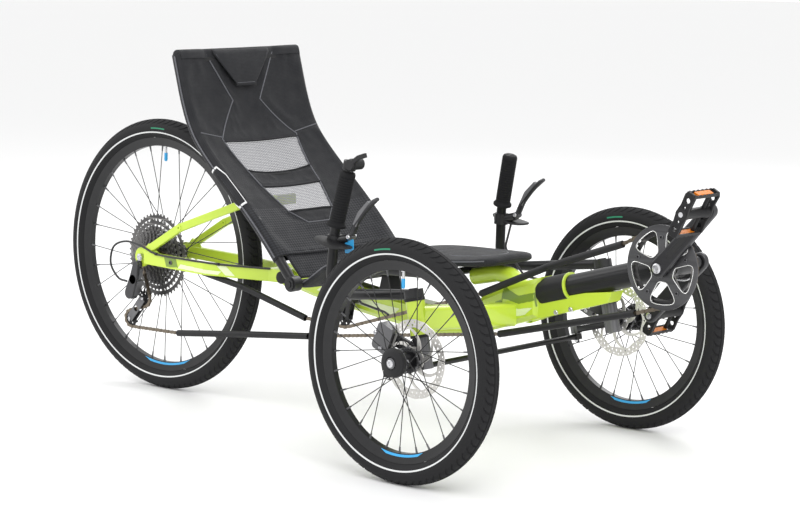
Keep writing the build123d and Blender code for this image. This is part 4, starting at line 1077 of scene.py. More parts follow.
def make_cranks():
    """Crank arms, their bolts and panels, with a bolt at the pedal end of each arm."""
    for side_name, side in side_names.items():
        pedal = crank_pedal[side_name]
        inner = 0.062
        middle = side * (inner + 0.007)
        place = side_place(Vector((bottom_bracket.x, middle, bottom_bracket.z)))
        end = (pedal.x - bottom_bracket.x, pedal.z - bottom_bracket.z)
        arm = Shape()
        arm.slab(capsule((0, 0), 0.0185, end, 0.0145, steps=14), place, 0.014)
        if side < 0:
            for start, finish, radius in ((0.030, -0.0605, 0.0119), (-0.046, -0.0625, 0.0148)):
                bar = [Vector((bottom_bracket.x, y, bottom_bracket.z)) for y in (start, finish)]
                arm.tube(bar, radius, sides=32)
            axle = [Vector((bottom_bracket.x, y, bottom_bracket.z)) for y in (0.0605, 0.028)]
            arm.tube(axle, 0.0119, sides=32)
        piece(f"crank_arm_{side_name}", arm, black_alloy, "cranks", [f"crank_{side_name}"],
              bevel=0.0042, segments=4)
        fittings = Shape()
        face = side * (inner + 0.014)
        out = Vector((0, side, 0))
        bolt(
            fittings, Vector((bottom_bracket.x, face, bottom_bracket.z)), out, radius=0.0100,
            height=0.0035
        )
        bolt(
            fittings, Vector((pedal.x, side * (inner - 0.0004), pedal.z)), -out, radius=0.0066,
            height=0.0015
        )
        piece(f"crank_bolts_{side_name}", fittings, bright_steel, "cranks")
        groove = Shape()
        start = (end[0] * 0.24, end[1] * 0.24)
        stop = (end[0] * 0.80, end[1] * 0.80)
        groove.slab(
            capsule(start, 0.0070, stop, 0.0052, steps=8),
            Matrix.Translation((0, side * 0.0070, 0)) @ place, 0.0010
        )
        piece(
            f"crank_panel_{side_name}", groove, satin_black, "cranks", bevel=0.0004,
            segments=1
        )


def make_pedals():
    """Caged pedals: end plates with round holes, toothed cross bars, reflectors and a centre barrel."""
    lean = math.radians(pedal_turn)
    length_way = Vector((math.cos(lean), 0, math.sin(lean)))
    thick_way = Vector((-math.sin(lean), 0, math.cos(lean)))
    for side_name, side in side_names.items():
        pedal = crank_pedal[side_name]
        low, high = corner(f"pedal_{side_name}")
        inner_y = min(abs(low.y), abs(high.y))
        outer_y = max(abs(low.y), abs(high.y))
        body = f"pedal_{side_name}"
        cage = Shape()
        middle = Vector((pedal.x, 0, pedal.z))
        for y in (inner_y + 0.004, outer_y - 0.004):
            place = axes_place(middle + Vector((0, side * y, 0)), length_way, thick_way)
            edge = [
                (-0.047, -0.007), (-0.040, -0.0108), (-0.018, -0.0095), (0.0, -0.0125), (0.018, -0.0095),
                (0.040, -0.0108), (0.047, -0.007), (0.047, 0.007), (0.040, 0.0108), (0.018, 0.0095),
                (0.0, 0.0125), (-0.018, 0.0095), (-0.040, 0.0108), (-0.047, 0.007),
            ]
            holes = [circle(0.0062, 20, (u, 0)) for u in (-0.031, 0.031)]
            holes.append(circle(0.0052, 16, (0, 0)))
            holes += [circle(0.0036, 14, (u, 0)) for u in (-0.0155, 0.0155)]
            cage.plate([edge] + holes, place, 0.0062, bevel=0.0010)
        barrel = [
            (0.0051, inner_y), (0.0125, inner_y), (0.0130, inner_y + 0.010), (0.0105, inner_y + 0.020),
            (0.0105, outer_y - 0.020), (0.0125, outer_y - 0.010), (0.0125, outer_y), (0.0051, outer_y),
        ]
        cage.turned(barrel, middle, (0, side, 0), sides=28, closed=True)
        span = outer_y - inner_y - 0.006
        centre_y = side * (inner_y + outer_y) / 2
        for end in (-1, 1):
            for height in (-1, 1):
                rail = middle + Vector((0, centre_y, 0))
                rail = rail + length_way * end * 0.0435 + thick_way * height * 0.0088
                place = axes_place(rail, Vector((0, 1, 0)), length_way)
                teeth = []
                for k in range(13):
                    u = -span / 2 + span * k / 12
                    teeth.append((u, end * (0.0040 if k % 2 else 0.0018)))
                outline = teeth + [(span / 2, -end * 0.0030), (-span / 2, -end * 0.0030)]
                cage.slab(outline, place, 0.0030)
            for y in (-0.28, 0.28):
                foot = middle + Vector((0, centre_y + span * y, 0))
                cage.tube(
                    [foot + length_way * end * 0.008, foot + length_way * end * 0.042], 0.0042, sides=10
                )
        piece(f"pedal_cage_{side_name}", cage, black_plastic, body, [f"pedal_{side_name}"],
              bevel=0.0005, segments=1)
        lens = Shape()
        for end in (-1, 1):
            spot = middle + Vector((0, centre_y, 0)) + length_way * end * 0.0440
            place = axes_place(spot, Vector((0, 1, 0)), thick_way)
            lens.slab(rounded(0.050, 0.0125, 0.002), place, 0.0050)
        piece(f"pedal_reflectors_{side_name}", lens, reflector, body, bevel=0.0006)


def make_derailleur():
    """Pivot housings and link plates over the derailleur's body, and the cage bolts."""
    shape = Shape()
    y = -0.0790
    top, knee, foot = rear_point(-0.006, y, 0.306), rear_point(-0.016, y, 0.270), rear_point(-0.030, y, 0.236)
    for spot, radius, deep in ((top, 0.0105, 0.007), (knee, 0.0125, 0.010), (foot, 0.0150, 0.011)):
        profile = [(0.0001, 0), (radius * 0.8, 0), (radius, -0.002), (radius, -deep), (0.0001, -deep)]
        shape.turned(profile, spot + Vector((0, -0.0040, 0)), (0, -1, 0), sides=30)
        bolt(shape, spot + Vector((0, -0.0040, 0)), (0, -1, 0), radius=radius * 0.45, height=0.0015)
    place = side_place(Vector((0, y - 0.0072, 0)))
    for a, b, ra, rb in ((top, knee, 0.0085, 0.0115), (knee, foot, 0.0120, 0.0140)):
        shape.slab(capsule((a.x, a.z), ra, (b.x, b.z), rb, steps=8), place, 0.006)
    piece("derailleur_links", shape, black_alloy, "rear_frame", bevel=0.0012)
    bolts = Shape()
    for spot in (guide, tension):
        bolt(bolts, Vector((spot.x, drive_y - 0.0075, spot.z)), (0, -1, 0), radius=0.0040, height=0.0018)
    bolt(bolts, Vector((rear_axle.x, -0.0815, rear_axle.z)), (0, -1, 0), radius=0.0062, height=0.0020)
    bolt(bolts, Vector((rear_axle.x, 0.0815, rear_axle.z)), (0, 1, 0), radius=0.0062, height=0.0020)
    piece("rear_bolts", bolts, bright_steel, "rear_frame")


make_chains()
make_toothed_wheel("idler_cog", "idler_wheel", idler, 10, ["idler_wheel"], black_plastic)
make_toothed_wheel("guide_cog", "guide_pulley", guide, 10, ["guide_pulley"], black_plastic)
make_toothed_wheel(
    "tension_cog", "tension_pulley", tension, 10, ["tension_pulley"], black_plastic
)
make_cassette()
make_chainring()
make_cranks()
make_pedals()
make_derailleur()

# ---------------------------------------------------------------- seat

sling_half_width = 0.197
edge_roll = 0.0134
front_half = sling_half_width - edge_roll
flap_length = 0.052
sling_stations = [
    at_front(dx, z)
    for dx, z in ((-0.852, 0.815), (-0.814, 0.672), (-0.763, 0.598), (-0.600, 0.458), (-0.490, 0.333))
]
sling_end_gap = 0.066
panel_seam = [
    (0.0, 0.107), (0.112, 0.043), (0.206, 0.118), (0.295, 0.100), (0.348, 0.093), (0.430, 0.070),
    (0.466, 0.034)
]
upper_window = (0.213, 0.298)
lower_window = (0.350, 0.431)


def cut_corners(points, times):
    """Chaikin's rule: each pass replaces every corner with two points beside it."""
    for _ in range(times):
        smoothed = [points[0]]
        for a, b in zip(points, points[1:]):
            smoothed.append(tuple(p * 0.75 + q * 0.25 for p, q in zip(a, b)))
            smoothed.append(tuple(p * 0.25 + q * 0.75 for p, q in zip(a, b)))
        points = smoothed + [points[-1]]
    return points


class SideLine:
    """A smooth side-view line that gives a point and the direction towards the rider."""

    def __init__(self, points, times=3):
        self.points = cut_corners(points, times)
        self.lengths = [0.0]
        for a, b in zip(self.points, self.points[1:]):
            self.lengths.append(self.lengths[-1] + math.hypot(b[0] - a[0], b[1] - a[1]))
        self.length = self.lengths[-1]

    def tangent(self, s):
        a = self.spot(max(0.0, s - 0.008))
        b = self.spot(min(self.length, s + 0.008))
        return (b - a).normalized()

    def spot(self, s):
        s = min(max(s, 0.0), self.length)
        for index in range(len(self.points) - 1):
            if s <= self.lengths[index + 1]:
                share = (s - self.lengths[index]) / (self.lengths[index + 1] - self.lengths[index])
                a, b = self.points[index], self.points[index + 1]
                return Vector((a[0] + (b[0] - a[0]) * share, 0, a[1] + (b[1] - a[1]) * share))
        return Vector((self.points[-1][0], 0, self.points[-1][1]))

    def forward(self, s):
        t = self.tangent(s)
        return Vector((-t.z, 0, t.x))


sling_line = SideLine(sling_stations)
sling_length = sling_line.length - sling_end_gap


def lerp_table(table, s):
    """The value of a table of (place, value) pairs at s, by straight lines."""
    if s <= table[0][0]:
        return table[0][1]
    for (s0, v0), (s1, v1) in zip(table, table[1:]):
        if s <= s1:
            return v0 + (v1 - v0) * (s - s0) / (s1 - s0)
    return table[-1][1]


def seam_half_width(s):
    """Half the width of the centre panel at s."""
    return lerp_table(panel_seam, s)


def gap_to_line(s, y, line):
    """The distance from a point to a line of (s, y) points."""
    best = 1.0
    for (s0, y0), (s1, y1) in zip(line, line[1:]):
        ds, dy = s1 - s0, y1 - y0
        share = max(0.0, min(1.0, ((s - s0) * ds + (y - y0) * dy) / (ds * ds + dy * dy)))
        best = min(best, math.hypot(s - s0 - share * ds, y - y0 - share * dy))
    return best


side_seam = [(0.200, 0.117), (0.190, front_half)]
lower_seam = [(0.466, 0.0), (0.466, 0.034)]
band_seams = [
    [(upper_window[1] + 0.004, 0.0), (upper_window[1] + 0.004, 0.099)],
    [(lower_window[0] - 0.004, 0.0), (lower_window[0] - 0.004, 0.093)]
]
sling_seams = [panel_seam, side_seam, lower_seam] + band_seams


def sling_sag(s):
    """How far the middle of the sling hangs back between its rails."""
    return 0.009 + 0.011 * math.sin(math.pi * min(1.0, s / sling_length)) ** 2


def sling_front(s, y):
    """The sling's offset towards the rider at a place on its front."""
    across = min(1.0, abs(y) / front_half)
    offset = edge_roll - sling_sag(s) * (1 - across ** 2) ** 1.2
    seam = min(gap_to_line(s, abs(y), line) for line in sling_seams)
    puff = 0.0030 * (1 - math.exp(-((seam / 0.014) ** 2)))
    channel = -0.0012 * math.exp(-((seam / 0.0035) ** 2))
    return offset + (puff + channel) * min(1.0, (1 - across) * 6 + 0.35)


def sling_point(s, y, lift=0.0):
    """A point on the sling's front, lifted towards the rider."""
    base = sling_line.spot(s)
    n = sling_line.forward(s)
    spot = base + n * (sling_front(s, y) + lift)
    spot.y = y
    return spot


def roll_point(s, side, degrees, lift=0.0):
    """A point on the rolled edge; 0 faces the rider and 180 faces back."""
    angle = math.radians(degrees)
    reach = edge_roll + lift
    spot = sling_line.spot(s) + sling_line.forward(s) * reach * math.cos(angle)
    spot.y = side * (front_half + reach * math.sin(angle))
    return spot


def flap_point(s, side, inward, lift=0.0):
    """A point on the cover's back flap, which is sewn back round the rail."""
    spot = sling_line.spot(s) - sling_line.forward(s) * (edge_roll + lift - 0.004 * inward / flap_length)
    spot.y = side * (front_half - inward)
    return spot


def window_bow(s, y):
    """The sewn edge under the upper window bows down in its middle."""
    return 0.008 * math.exp(-(((s - upper_window[1]) / 0.03) ** 2)) * (1 - min(1.0, abs(y) / 0.1) ** 2)


def stations(marks, step):
    """Even steps between marks, with every mark kept."""
    values = []
    for a, b in zip(marks, marks[1:]):
        count = max(1, round((b - a) / step))
        values += [a + (b - a) * k / count for k in range(count)]
    return values + [marks[-1]]


def thicken(made, thickness, offset):
    """Give a sheet its thickness."""
    solid = made.modifiers.new("thickness", "SOLIDIFY")
    solid.thickness = thickness
    solid.offset = offset
    solid.use_even_offset = False
    solid.use_quality_normals = False


def settle(made, held, frames=14, most=0.006):
    """Let the cloth settle between its seams, then keep the settled shape."""
    group = made.vertex_groups.new(name="held")
    group.add(held, 1.0, "REPLACE")
    rest = [v.co.copy() for v in made.data.vertices]
    cloth = made.modifiers.new("cloth", "CLOTH")
    cloth.settings.quality = 5
    cloth.settings.mass = 0.25
    cloth.settings.tension_stiffness = 25
    cloth.settings.compression_stiffness = 25
    cloth.settings.shear_stiffness = 12
    cloth.settings.bending_stiffness = 0.6
    cloth.settings.shrink_min = -0.012
    cloth.settings.vertex_group_mass = "held"
    cloth.collision_settings.use_collision = False
    scene = bpy.context.scene
    cloth.point_cache.frame_start = 1
    cloth.point_cache.frame_end = frames + 1
    for frame_number in range(1, frames + 1):
        scene.frame_set(frame_number)
    settled = made.evaluated_get(bpy.context.evaluated_depsgraph_get()).to_mesh()
    moved = [v.co.copy() for v in settled.vertices]
    made.modifiers.remove(cloth)
    scene.frame_set(1)
    for vertex, start, end in zip(made.data.vertices, rest, moved):
        step = end - start
        if step.length > most:
            step = step.normalized() * most
        vertex.co = start + step
    made.data.update()


def make_sling():
    """The seat's cover: a padded sheet rolled round both rails, with two sewn windows."""
    rows_s = stations(
        [
            0.0, 0.112, upper_window[0], upper_window[1], lower_window[0], lower_window[1], 0.466,
            sling_length
        ],
        0.0052
    )
    roll_steps = [22.5, 45, 67.5, 90, 112.5, 135, 157.5, 180]
    flap_steps = [0.016, 0.034, flap_length]
    shape = Shape()
    rows = []
    inner = 17
    outer = 9
    for s in rows_s:
        w = seam_half_width(s)
        row = [flap_point(s, -1, inward) for inward in reversed(flap_steps)]
        row += [roll_point(s, -1, angle) for angle in reversed(roll_steps)]
        ys = [-front_half + (front_half - w) * k / outer for k in range(outer)]
        ys += [-w + 2 * w * k / (2 * inner) for k in range(2 * inner)]
        ys += [w + (front_half - w) * k / outer for k in range(outer + 1)]
        row += [sling_point(s + window_bow(s, y), y) for y in ys]
        row += [roll_point(s, 1, angle) for angle in roll_steps]
        row += [flap_point(s, 1, inward) for inward in flap_steps]
        rows.append(row)
    first_inner = len(flap_steps) + len(roll_steps) + outer
    last_inner = first_inner + 2 * inner

    def finish_of(i, j):
        s = (rows_s[i] + rows_s[i + 1]) / 2
        inside = first_inner <= j < last_inner
        if inside and (upper_window[0] < s < upper_window[1] or lower_window[0] < s < lower_window[1]):
            return 9
        return 1 if s > 0.470 or (not inside and s > 0.415) else 0

    shape.rows(rows, ring_of_points=False, mark=finish_of)
    kept = [(face, mark) for face, mark in zip(shape.faces, shape.marks) if mark != 9]
    shape.faces = [face for face, mark in kept]
    shape.marks = [mark for face, mark in kept]
    sling = piece(
        "seat_sling", shape, [seat_cloth, spacer_mesh], "seat_back", ["seat_back_cover"],
        crease=70
    )
    held = []
    for vertex in sling.data.vertices:
        if abs(vertex.co.y) > front_half - 0.004:
            held.append(vertex.index)
            continue
        if near_seam(vertex.co, 0.006):
            held.append(vertex.index)
    settle(sling, held)
    thicken(sling, 0.0034, -1.0)
    return sling


def near_seam(place, reach):
    """Whether a point of the sling is close to a seam, a window's edge or an end."""
    s = station_of(place)
    y = abs(place.y)
    if s < 0.006 or s > sling_length - 0.006:
        return True
    if min(gap_to_line(s, y, line) for line in sling_seams) < reach:
        return True
    edges = upper_window + lower_window
    return y < seam_half_width(s) + reach and any(abs(s - edge) < reach + 0.006 for edge in edges)


def station_of(place):
    """The distance down the sling's line that is nearest to a point."""
    best, found = 9.0, 0.0
    for length, (x, z) in zip(sling_line.lengths, sling_line.points):
        gap = math.hypot(place.x - x, place.z - z)
        if gap < best:
            best, found = gap, length
    t = sling_line.tangent(found)
    base = sling_line.spot(found)
    return found + (place.x - base.x) * t.x + (place.z - base.z) * t.z


def make_nets():
    """The see-through nets in the sling's two windows."""
    for name, (start, end) in (("upper", upper_window), ("lower", lower_window)):
        rows_s = stations([start - 0.004, end + 0.004], 0.006)
        rows = []
        for s in rows_s:
            w = seam_half_width(s) + 0.003
            ys = [-w + 2 * w * k / 30 for k in range(31)]
            rows.append([sling_point(s + window_bow(s, y), y, -0.0022) for y in ys])
        shape = Shape()
        shape.rows(rows, ring_of_points=False)
        net = piece(f"seat_net_{name}", shape, net_cloth, "seat_back", crease=80)


def make_seat_trim():
    """Piping on the seams, bound window edges, the head flap and the side patch."""
    piping = Shape()
    for side in (-1, 1):
        for line, radius in ((panel_seam, 0.0015), (side_seam, 0.0013)):
            path = []
            for (s0, y0), (s1, y1) in zip(line, line[1:]):
                count = max(2, round(math.hypot(s1 - s0, y1 - y0) / 0.005))
                path += [(s0 + (s1 - s0) * k / count, y0 + (y1 - y0) * k / count) for k in range(count)]
            path.append(line[-1])
            piping.tube([sling_point(s, side * y, 0.0006) for s, y in path if s > 0.001], radius, sides=6)
        edge = [roll_point(0.004 + (sling_length - 0.008) * k / 90, side, 78, 0.0006) for k in range(91)]
        piping.tube(edge, 0.0015, sides=6)
    piping.tube([sling_point(0.466, -0.034 + 0.068 * k / 12, 0.0006) for k in range(13)], 0.0014, sides=6)
    piece("seat_piping", piping, piping_grey, "seat_back", crease=80)

    binding = Shape()
    for start, end in (upper_window, lower_window):
        for s, lift in ((start, 0.0008), (end, 0.0008)):
            w = seam_half_width(s)
            line = []
            for k in range(41):
                y = -w + 2 * w * k / 40
                line.append(sling_point(s + window_bow(s, y), y, lift))
            binding.tube(line, 0.0021, sides=8)
    piece("seat_window_binding", binding, seat_cloth, "seat_back", crease=80)

    flap = Shape()
    rows = []
    for k in range(25):
        s = -0.010 + 0.090 * k / 24
        half = 0.088 - (0.088 - 0.031) * max(0.0, min(1.0, (s - 0.004) / 0.070))
        row = []
        for j in range(31):
            share = -1 + 2 * j / 30
            y = half * share
            swell = 0.0035 + 0.0025 * (1 - share ** 4) * math.sin(math.pi * min(
                1.0, max(0.0, (s + 0.012) / 0.095)
            ))
            if s < 0.004:
                back = (0.004 - s) / 0.014
                spot = sling_point(0.0, y, swell - 0.010 * back)
                spot.z += 0.003 * math.sin(math.pi * min(1.0, back))
            else:
                spot = sling_point(s, y, swell)
            row.append(spot)
        rows.append(row)
    flap.rows(rows, ring_of_points=False)
    head = piece("seat_head_flap", flap, seat_cloth, "seat_back", crease=60)
    thicken(head, 0.0028, 1.0)

    stitching = Shape()
    outline = []
    for k in range(24):
        s = 0.006 + 0.066 * k / 23
        half = 0.083 - (0.088 - 0.031) * max(0.0, min(1.0, (s - 0.004) / 0.070))
        outline.append((s, half))
    for side in (-1, 1):
        line = [sling_point(s, side * y, 0.0062) for s, y in outline]
        stitching.tube(line, 0.0006, sides=5)
    stitching.tube(
        [sling_point(0.0735, -0.027 + 0.054 * k / 10, 0.0068) for k in range(11)], 0.0006, sides=5
    )
    piece("head_flap_stitching", stitching, piping_grey, "seat_back", crease=80)

    for name, material, lift, inset in (
        ("patch_border", silver_white, 0.0009, 0.0), ("patch_field", seat_cloth, 0.0015, 1.0)
    ):
        patch = Shape()
        rows = []
        for k in range(33):
            share = k / 32
            s = 0.285 + 0.118 * share + (0.5 - share) * 0.010 * inset
            low = 16 + 30 * max(0.0, 1 - share * 4) + 8 * inset
            high = 150 - 44 * max(0.0, share * 4 - 3) - 10 * inset
            rows.append([roll_point(s, -1, low + (high - low) * j / 14, lift) for j in range(15)])
        patch.rows(rows, ring_of_points=False)
        made = piece(f"seat_{name}", patch, material, "seat_back", crease=80)
        thicken(made, 0.0006, 1.0)


def make_sling_ends():
    """The pocket over the sling's top bar and the tongue that reaches down to the pivot."""
    pocket = Shape()
    half = front_half + 0.004
    n = sling_line.forward(0.0)
    up = -sling_line.tangent(0.0)
    rows = []
    for k in range(61):
        y = -half + 2 * half * k / 60
        front = sling_front(0.0, y) + 0.0012
        back = -edge_roll + 0.001
        middle, reach = (front + back) / 2, (front - back) / 2
        start = sling_line.spot(0.0)
        row = [sling_point(0.012, y, 0.0012), sling_point(0.004, y, 0.0012)]
        for j in range(9):
            angle = math.pi * j / 8
            row.append(start + n * (middle + reach * math.cos(angle)) + up * (0.011 * math.sin(angle)))
        for drop in (0.016, 0.034, 0.056):
            row.append(sling_line.spot(drop) - sling_line.forward(drop) * (edge_roll - 0.001))
        for point in row:
            point.y = y
        rows.append(row)
    base = pocket.rows(rows, ring_of_points=False)
    ring = len(rows[0])
    pocket.face(range(base, base + ring))
    pocket.face(range(base + 60 * ring, base + 61 * ring))
    made = piece("seat_top_pocket", pocket, seat_cloth, "seat_back", crease=60)

    tongue = Shape()
    rows = []
    for k in range(19):
        s = sling_length - 0.012 + 0.072 * k / 18
        w = 0.168 - 0.004 * k / 18
        lift = -0.0038 * min(1.0, k / 3)
        rows.append([sling_point(s, -w + 2 * w * j / 40, lift) for j in range(41)])
    tongue.rows(rows, ring_of_points=False)
    made = piece("seat_tongue", tongue, spacer_mesh, None, crease=70)
    thicken(made, 0.003, -1.0)
    finished = bpy.data.meshes.new_from_object(made.evaluated_get(bpy.context.evaluated_depsgraph_get()))
    made.modifiers.clear()
    made.data = finished
    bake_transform(made)


def make_seat_base():
    """The seat's cushion: a crowned pad that narrows to its nose, with an oval seam."""
    base_line = SideLine(
        [
            at_front(dx, z)
            for dx, z in (
                (-0.494, 0.324), (-0.470, 0.336), (-0.430, 0.362), (-0.380, 0.387), (-0.290, 0.399),
                (-0.100, 0.406), (-0.021, 0.412)
            )
        ],
        3
    )
    outline = [
        (-0.494, 0.166), (-0.440, 0.168), (-0.405, 0.178), (-0.350, 0.162), (-0.250, 0.141),
        (-0.114, 0.112), (-0.060, 0.092), (-0.030, 0.070), (-0.012, 0.048)
    ]
    rows = []
    count = 84
    around = 56
    for i in range(count + 1):
        s = base_line.length * i / count
        spot = base_line.spot(s)
        n = base_line.forward(s)
        half = lerp_table(outline, spot.x - front_x) - 0.0015
        end = min(1.0, s / 0.014, (base_line.length - s) / 0.020)
        plump = math.sqrt(max(0.0, 1 - (1 - end) ** 2)) * 0.86 + 0.14
        row = []
        for j in range(around):
            angle = tau * j / around
            c, d = math.cos(angle), math.sin(angle)
            y = half * math.copysign(abs(c) ** 0.42, c) * (0.93 + 0.07 * plump)
            share = abs(y) / half
            rise = 0.0098 * math.copysign(abs(d) ** 0.55, d) * plump
            if d > 0:
                oval = math.hypot((s - base_line.length + 0.115) / 0.085, y / 0.060)
                rise += 0.0030 * (1 - share ** 2) - 0.0022 * math.exp(-(((oval - 1) / 0.07) ** 2))
            point = spot + n * rise
            point.y = y
            row.append(point)
        rows.append(row)
    shape = Shape()
    base = shape.rows(rows)
    shape.face(range(base, base + around))
    shape.face(range(base + count * around, base + (count + 1) * around))
    cushion = piece(
        "seat_cushion", shape, seat_cloth, "frame", ["seat_base_cover"], crease=75
    )

    trim = Shape()
    for side in (-1, 1):
        line = []
        for k in range(70):
            s = 0.010 + (base_line.length - 0.030) * k / 69
            spot = base_line.spot(s)
            half = lerp_table(outline, spot.x - front_x) - 0.0015
            point = spot + base_line.forward(s) * 0.0030
            point.y = side * (half * 0.995)
            line.append(point)
        trim.tube(line, 0.0014, sides=6)
    oval_line = []
    for k in range(60):
        angle = tau * k / 60
        s = base_line.length - 0.115 + 0.085 * math.cos(angle)
        y = 0.060 * math.sin(angle)
        half = lerp_table(outline, base_line.spot(s).x - front_x)
        point = base_line.spot(s) + base_line.forward(s) * (0.0098 + 0.0030 * (1 - (y / half) ** 2) - 0.0016)
        point.y = y
        oval_line.append(point)
    trim.tube(oval_line, 0.0009, sides=5, closed=True)
    piece("cushion_piping", trim, piping_grey, "frame", crease=80)


silver_white = worn("white_patch_border", (0.72, 0.73, 0.73), 0.55, scale=1200, variation=0.12, bump=0.1)

make_sling()
make_nets()
make_seat_trim()
make_sling_ends()
make_seat_base()

# ---------------------------------------------------------------- controls, boom and frame details

def on_side(dx, y, z, side):
    """A point on one side, measured ahead of the front axle."""
    return Vector((front_x + dx, side * y, z))


def sweep(path, ups, widths, heights, steps=4):
    """Rounded sections along a path, each with its own width and height."""
    rows = []
    for index, spot in enumerate(path):
        before = path[max(0, index - 1)]
        after = path[min(len(path) - 1, index + 1)]
        t = (after - before).normalized()
        u = (ups[index] if isinstance(ups, list) else ups).cross(t).normalized()
        v = t.cross(u)
        w, h = widths[index], heights[index]
        rows.append([spot + u * a + v * b for a, b in rounded(w, h, min(w, h) * 0.45, steps)])
    return rows


def add_sweep(shape, rows):
    """Add rows of rounded sections with both ends closed."""
    base = shape.rows(rows)
    ring = len(rows[0])
    shape.face(range(base, base + ring))
    shape.face(range(base + (len(rows) - 1) * ring, base + len(rows) * ring))


bar_top = (-0.252, 0.262, 0.600)
bar_bend = (-0.283, 0.270, 0.472)
lever_perch = (-0.283, 0.270, 0.454)
lever_hinge = (-0.236, 0.270, 0.466)
hand_rest_place = (-0.270, 0.288, 0.452)
tag_place = (-0.238, 0.274, 0.446)
rest_half_length, rest_half_width = 0.046, 0.026
rest_rings = [
    (0.55, 0.0016), (0.86, 0.0006), (1.0, -0.0010), (1.03, -0.0034), (0.98, -0.0056), (0.80, -0.0060)
]
lever_line = [
    (-0.004, -0.008), (0.004, 0.008), (0.012, 0.024), (0.024, 0.038),
    (0.038, 0.054), (0.050, 0.066), (0.064, 0.078), (0.074, 0.084),
]
lever_widths = [0.011, 0.012, 0.0105, 0.0085, 0.0080, 0.0085, 0.0095, 0.0070]
lever_heights = [0.010, 0.011, 0.0095, 0.0095, 0.0100, 0.0110, 0.0120, 0.0090]


def make_controls():
    """Grips, brake lever blades, their bolts and the hand rests on both bars, and the right bar's tag."""
    for name, side in side_names.items():
        body = f"steering_{name}"
        top = on_side(*bar_top, side)
        low = on_side(*bar_bend, side)
        down = (low - top).normalized()
        grip = Shape()
        profile = [(0.0, 0.0), (0.0105, 0.0), (0.0148, 0.002), (0.0166, 0.006)]
        for k in range(18):
            at = 0.009 + k * 0.0055
            profile += [(0.0167, at), (0.0167, at + 0.0034), (0.0159, at + 0.0040), (0.0159, at + 0.0051)]
        profile += [
            (0.0168, 0.109), (0.0180, 0.112), (0.0205, 0.114), (0.0207, 0.118), (0.0198, 0.120),
            (0.0125, 0.1205)
        ]
        grip.turned(profile, top, down, sides=40)
        piece(f"grip_sleeve_{name}", grip, grip_rubber, body, [f"grip_{name}"], crease=35)

        perch = on_side(*lever_perch, side)
        lever = Shape()
        hinge = on_side(*lever_hinge, side)
        path = [hinge + Vector((ahead, 0, up)) for ahead, up in lever_line]
        add_sweep(lever, sweep(path, Vector((0, 1, 0)), lever_widths, lever_heights))
        piece(
            f"lever_blade_{name}", lever, black_alloy, f"brake_lever_{name}", crease=40,
            bevel=0.0006
        )

        bracket = Shape()
        bolt(bracket, hinge + Vector((0, 0.0095, 0)), Vector((0, 1, 0)), 0.0042, 0.003, 0)
        bolt(bracket, hinge - Vector((0, 0.0095, 0)), Vector((0, -1, 0)), 0.0042, 0.003, 0)
        bolt(bracket, perch + Vector((-0.0165, 0, -0.002)), Vector((-1, 0, 0)), 0.0040, 0.003, 0)
        piece(f"lever_bolts_{name}", bracket, bright_steel, body, crease=40)

        rest = Shape()
        centre = on_side(*hand_rest_place, side)
        rows = []
        for size, drop in rest_rings:
            row = []
            for k in range(48):
                angle = tau * k / 48
                a = rest_half_length * math.copysign(abs(math.cos(angle)) ** 0.75, math.cos(angle)) * size
                b = rest_half_width * math.copysign(abs(math.sin(angle)) ** 0.75, math.sin(angle)) * size
                dish = 0.004 * (a / rest_half_length) ** 2
                row.append(centre + Vector((a * 0.95, b, drop + dish - a * 0.18)))
            rows.append(row)
        base = rest.rows(rows)
        rest.face(range(base, base + 48))
        rest.face(range(base + 5 * 48, base + 6 * 48))
        piece(f"hand_rest_{name}", rest, black_plastic, body, crease=40)

    tag = Shape()
    centre = on_side(*tag_place, -1)
    tag.slab(rounded(0.024, 0.030, 0.002, 3), side_place(centre), 0.0016)
    piece("bar_tag", tag, blue_mark, "steering_right", crease=40, bevel=0.0003)


boom_slope = 14.8
kingpin_lean = Vector((-0.2079, 0, 0.9781))
kingpin_y, kingpin_z = 0.310, 0.247


def make_boom_details():
    """The receiver sleeve and lime ring round the boom, clamp bolts, fold pin caps and the nose loop."""
    slope = math.radians(boom_slope)
    along = Vector((math.cos(slope), 0, math.sin(slope)))
    clamp = front_point(0.131, 0, 0.370)
    collar = Shape()
    collar.turned(
        [(0.0252, -0.075), (0.0285, -0.075), (0.0300, -0.070), (0.0300, -0.002), (0.0252, -0.002)],
        clamp, along, sides=48
    )
    piece("boom_collar", collar, black_plastic, "frame", crease=35)
    ring = Shape()
    ring.turned(
        [(0.0252, -0.002), (0.0300, -0.002), (0.0306, 0.000), (0.0300, 0.0028), (0.0252, 0.0030)],
        clamp, along, sides=48
    )
    piece("boom_ring", ring, lime, "frame", crease=35)
    ears = Shape()
    for side in (-1, 1):
        for dx, z in ((0.112, 0.318), (0.150, 0.328)):
            bolt(ears, front_point(dx, side * 0.0280, z), Vector((0, side, 0)), 0.0050, 0.0030, 0)
    piece("boom_clamp_bolts", ears, bright_steel, "frame", crease=40)
    caps = Shape()
    low, high = corner("fold_pin")
    for side, face in ((-1, low.y), (1, high.y)):
        spot = Vector((fold_pivot.x, face, fold_pivot.z))
        caps.turned(
            [(0.0, 0.0030), (0.0100, 0.0031), (0.0136, 0.0022), (0.0142, 0.0010), (0.0142, -0.0050)],
            spot, (0, side, 0), sides=40
        )
    piece("fold_pin_caps", caps, black_plastic, "frame", crease=35)
    loop = Shape()
    arc = []
    for k in range(25):
        angle = math.radians(-112 + 224 * k / 24)
        arc.append(bottom_bracket + Vector((0.036 * math.cos(angle) + 0.004, 0.0, 0.030 * math.sin(angle))))
    loop.tube(arc, 0.0024, sides=10)
    piece("boom_nose_loop", loop, bright_steel, "boom", crease=40)


